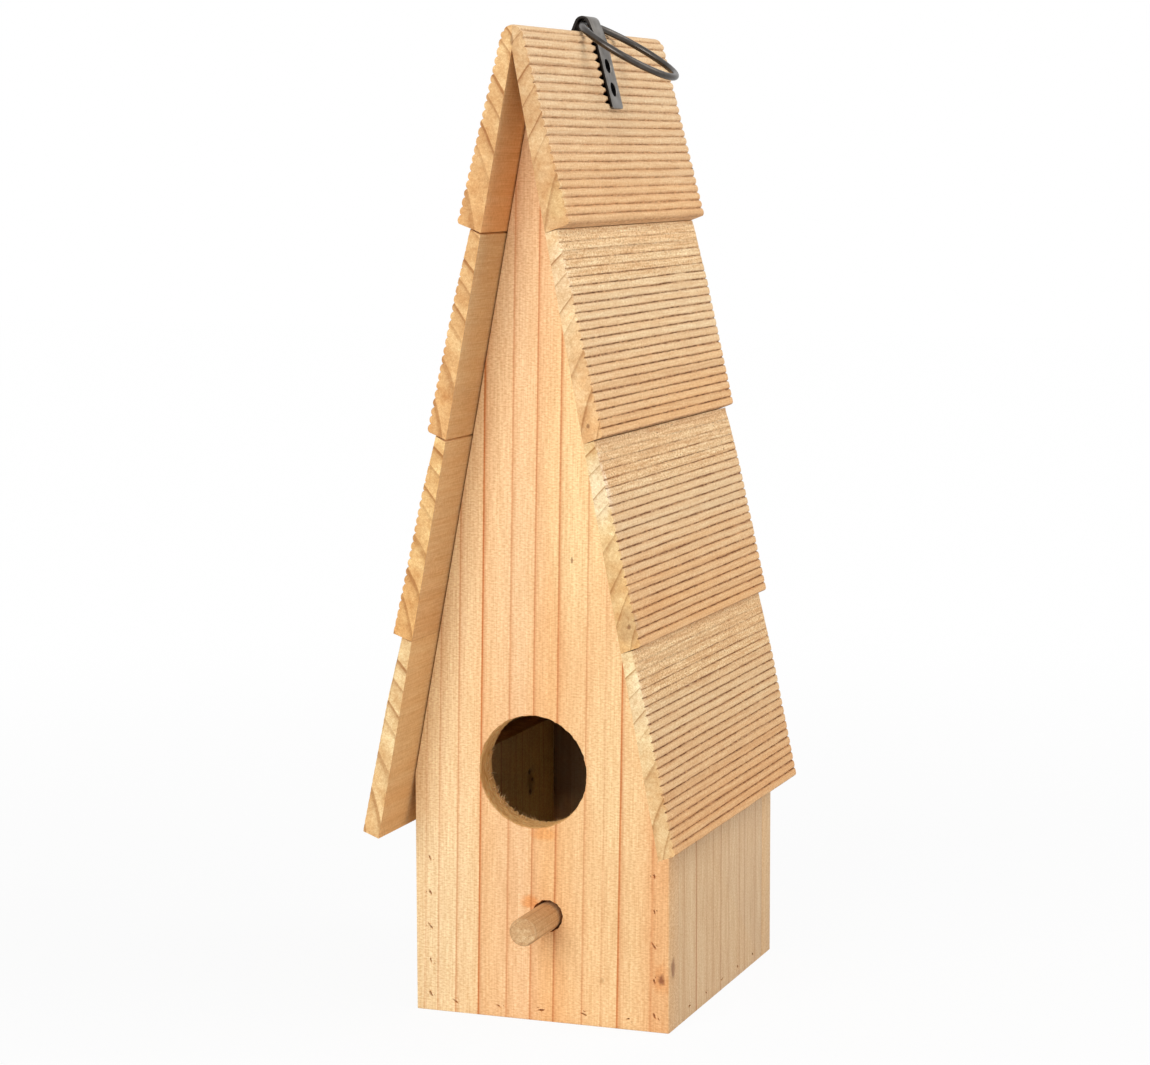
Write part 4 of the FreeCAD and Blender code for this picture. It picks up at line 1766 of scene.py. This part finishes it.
@dataclass
class Hanger:
    """Steel strap over the ridge, its screws and the wire ring, on the board at the ridge."""

    board: BoardShape
    strap_thickness: float = 1.0
    seat_gap: float = 0.1
    loop_rise: float = 2.55
    loop_bend: float = 2.76
    tent_bend: float = 2.45
    leg_corner: float = 1.25
    leg_growth: float = 1.2
    strap_arris: float = 0.14
    screw_sunk: float = 0.12
    recess_width: float = 0.55
    recess_length: float = 2.6
    recess_depth: float = 0.5
    # Painted shade darkens the strip's edges.
    strap_finish: Steel = Steel("zinc_coated_strip", "#6c6762", "#847f79", (0.34, 0.5), shaded_edge="#211e1c")
    # Painted shade: a dull, flat black with no reflection on the screws' heads, standing for the shade deep
    # in the countersinks.
    screw_finish: Steel = Steel(
        "shade_black_screw_steel", "#0a0909", "#121110", (0.6, 0.75), metallic=0.0, sheen=0.0)
    ring_finish: Steel = Steel("blackened_drawn_wire", "#4a4643", "#58534e", (0.26, 0.38))

    def build(self) -> None:
        """Builds and dresses the screws, the strap and the ring."""
        heads = self.screws()
        strap = copy_of("hanger_strap", "bent_hanger_strap")
        self.bend(strap)
        ease(strap, self.strap_arris)
        # Painted shade in the strap's countersinks, round the screws' heads.
        dress(strap, replace(self.strap_finish, shaded_countersinks=heads).material())
        hand_over(strap, "house", "strap_steel", "hanger_strap")
        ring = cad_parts["hanging_ring"]
        ring.data.materials.clear()
        ring.data.materials.append(self.ring_finish.material())
        LOG.info("hanging_ring: the frame's own ring, dressed")

    def bend(self, strap: Piece) -> None:
        """Gives the strap's round loop straight sides, like a tent's, and its legs a little more length.

        Args:
            strap: copy of the frame's strap.
        """
        ridge = self.board.ridge_middle
        loop = ridge + Vector((0, self.board.ridge_radius + self.loop_rise))
        seat = self.board.ridge_radius + self.seat_gap + self.strap_thickness / 2
        turn = math.asin((seat - self.tent_bend) / (loop.y - ridge.y))
        square = Vector((math.cos(turn), math.sin(turn)))
        side = Vector((-square.y, square.x))
        spots = [Vector((abs(vertex.co.x), vertex.co.z)) / MM for vertex in strap.data.vertices]
        normals = [vertex.normal.copy() for vertex in strap.data.vertices]
        leg_end = min(spot.dot(self.board.up) for spot in spots)
        for vertex, spot, normal in zip(strap.data.vertices, spots, normals):
            hand = math.copysign(1.0, vertex.co.x)
            along = (spot - ridge).dot(side)
            if spot.dot(self.board.up) - leg_end < self.leg_corner:
                spot -= self.board.up * self.leg_growth
            elif (spot - loop).dot(side) >= 0:
                spot += (spot - loop).normalized() * (self.tent_bend - self.loop_bend)
            elif along > 0:
                outward = Vector((hand * normal.x, normal.z)).dot(square)
                off = seat + math.copysign(self.strap_thickness / 2, outward)
                spot = ridge + side * along + square * off
            vertex.co.x = hand * spot.x * MM
            vertex.co.z = spot.y * MM

    def screws(self) -> tuple[Place, ...]:
        """Builds the screws, each with a cross recess in a head that sits deep in its countersink.

        Returns:
            The middles of the countersinks, metres.
        """
        piece = copy_of("strap_screws", "cross_head_strap_screws")
        mesh = piece.data
        cutters = []
        heads = []
        for shell in islands(mesh):
            own = set(shell)
            faces = [face for face in mesh.polygons if face.vertices[0] in own]
            head = max(faces, key=lambda face: face.area)
            middle = head.center.copy()
            outward = head.normal.copy()
            for number in shell:
                mesh.vertices[number].co -= outward * self.screw_sunk * MM
            cutters.append(self.recess(middle - outward * self.screw_sunk * MM))
            heads.append(tuple(middle))
        for slots in zip(*cutters):
            carve(piece, join(list(slots), "slots"))
        dress(piece, self.screw_finish.material())
        hand_over(piece, "house", "screw_steel", "strap_screws")
        return tuple(heads)

    def recess(self, head: Vector) -> list[Piece]:
        """Makes the two crossed cutters of one screw's recess.

        Args:
            head: middle of the screw's head.

        Returns:
            The cutters.
        """
        half = Vector((self.recess_depth, self.recess_length / 2, self.recess_width / 2)) * MM
        turned = Vector((half.x, half.z, half.y))
        return [add_block("recess", head - size, head + size) for size in (half, turned)]


# Studio

@dataclass
class Studio:
    """Pale floor, soft lamps and the camera."""

    camera_place: Place = (380.7, -1034.3, 306.3)
    camera_aim: Place = (-5.21, 0.0, 169.18)
    lamp_aim: Place = (0.0, 0.0, 160.0)
    camera_roll: float = math.radians(0.167)
    focal_pixels: float = 3049.2
    image_width: int = 1150
    floor_size: float = 8000.0
    floor_grey: float = 0.82
    ambient: float = 0.36
    floor_white: tuple[float, float] = (0.93, 0.997)
    floor_fade: tuple[float, float] = (200.0, 900.0)

    def build(self) -> None:
        """Builds the floor, the lights and the camera."""
        bpy.context.scene.view_settings.view_transform = "Standard"
        self.floor()
        self.surroundings()
        self.lamp("key_softbox", (-300.0, -1900.0, 900.0), 1300.0, 25.8)
        self.lamp("side_softbox", (1200.0, 100.0, 1100.0), 1200.0, 12.6)
        self.camera()

    def seen(self, shader: Shader) -> Socket:
        """Share that is one where the eye, a reflection or a clear body looks.

        Args:
            shader: shader to add to.

        Returns:
            The share's socket.
        """
        path = shader.add("LightPath").outputs
        mirrored = shader.number("MAXIMUM", path["Is Glossy Ray"], path["Is Transmission Ray"])
        return shader.number("MAXIMUM", path["Is Camera Ray"], mirrored)

    def floor(self) -> None:
        """Builds the pale floor, white to the eye but for the object's faint shadow."""
        bpy.ops.object.select_all(action="DESELECT")
        bpy.ops.mesh.primitive_plane_add(size=self.floor_size * MM)
        floor = settle("pale_floor")
        material = bpy.data.materials.new("pale_floor_card")
        shader = Shader.of(material)
        card = shader.add("BsdfDiffuse", {"Color": grey(self.floor_grey)})
        glow = shader.add("Emission", {"Color": grey(1.0), "Strength": 1.0})
        away = shader.vector("LENGTH", shader.add("TexCoord").outputs["Object"])
        near, far = (edge * MM for edge in self.floor_fade)
        white = shader.between(away, near, far, *self.floor_white, interpolation_type="SMOOTHSTEP")
        share = shader.number("MULTIPLY", self.seen(shader), white)
        mixed = shader.add("MixShader", {0: share, 1: card.outputs[0], 2: glow.outputs[0]})
        shader.add("OutputMaterial", {"Surface": mixed.outputs[0]})
        floor.data.materials.append(material)

    def surroundings(self) -> None:
        """Sets the even light from all round, white where it is seen."""
        world = bpy.data.worlds.new("white_studio")
        shader = Shader.of(world)
        light, white = (
            shader.add("Background", {"Color": grey(1.0), "Strength": strength}).outputs[0]
            for strength in (self.ambient, 1.0))
        mixed = shader.add("MixShader", {0: self.seen(shader), 1: light, 2: white})
        shader.add("OutputWorld", {"Surface": mixed.outputs[0]})
        bpy.context.scene.world = world

    def lamp(self, name: str, place: Place, size: float, power: float) -> None:
        """Adds one square softbox aimed at the middle of the box.

        Args:
            name: name of the lamp.
            place: where it hangs, mm.
            size: side of its window, mm.
            power: watts.
        """
        light = bpy.data.lights.new(name, "AREA")
        light.size = size * MM
        light.energy = power
        lamp = bpy.data.objects.new(name, light)
        lamp.location = Vector(place) * MM
        aim = Vector(self.lamp_aim) * MM
        lamp.rotation_euler = (aim - lamp.location).to_track_quat("-Z", "Y").to_euler()
        bpy.context.scene.collection.objects.link(lamp)

    def camera(self) -> None:
        """Sets the camera at the viewing angle."""
        view = bpy.data.cameras.new("camera")
        view.sensor_width = 36.0
        view.lens = self.focal_pixels / self.image_width * view.sensor_width
        view.clip_start = 0.01
        camera = bpy.data.objects.new("camera", view)
        place = Vector(self.camera_place) * MM
        way = Vector(self.camera_aim) * MM - place
        turn = way.to_track_quat("-Z", "Y").to_matrix().to_4x4()
        camera.matrix_world = Matrix.Translation(place) @ turn @ Matrix.Rotation(-self.camera_roll, 4, "Z")
        bpy.context.scene.collection.objects.link(camera)
        bpy.context.scene.camera = camera


def main() -> None:
    """Builds every piece of the nest box and the studio round it."""
    logging.basicConfig(level=logging.INFO, format="%(name)s: %(message)s")
    brads = Brads(Steel("bright_brad_wire", "#5a554f", "#46413c", (0.4, 0.55)))
    brads.build()
    BoxBoards(brads).build()
    panel = FrontPanel(brads)
    panel.build()
    Perch().build()
    roof = Roof()
    roof.build()
    fray = Fray()
    fray.entrance(panel)
    fray.eave(roof.shape(Side.RIGHT, 3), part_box("right_roof_board_4")[0].y / MM)
    fray.splinters(roof)
    Hanger(roof.shape(Side.RIGHT, 0)).build()
    Studio().build()


if __name__ == "__main__":
    main()
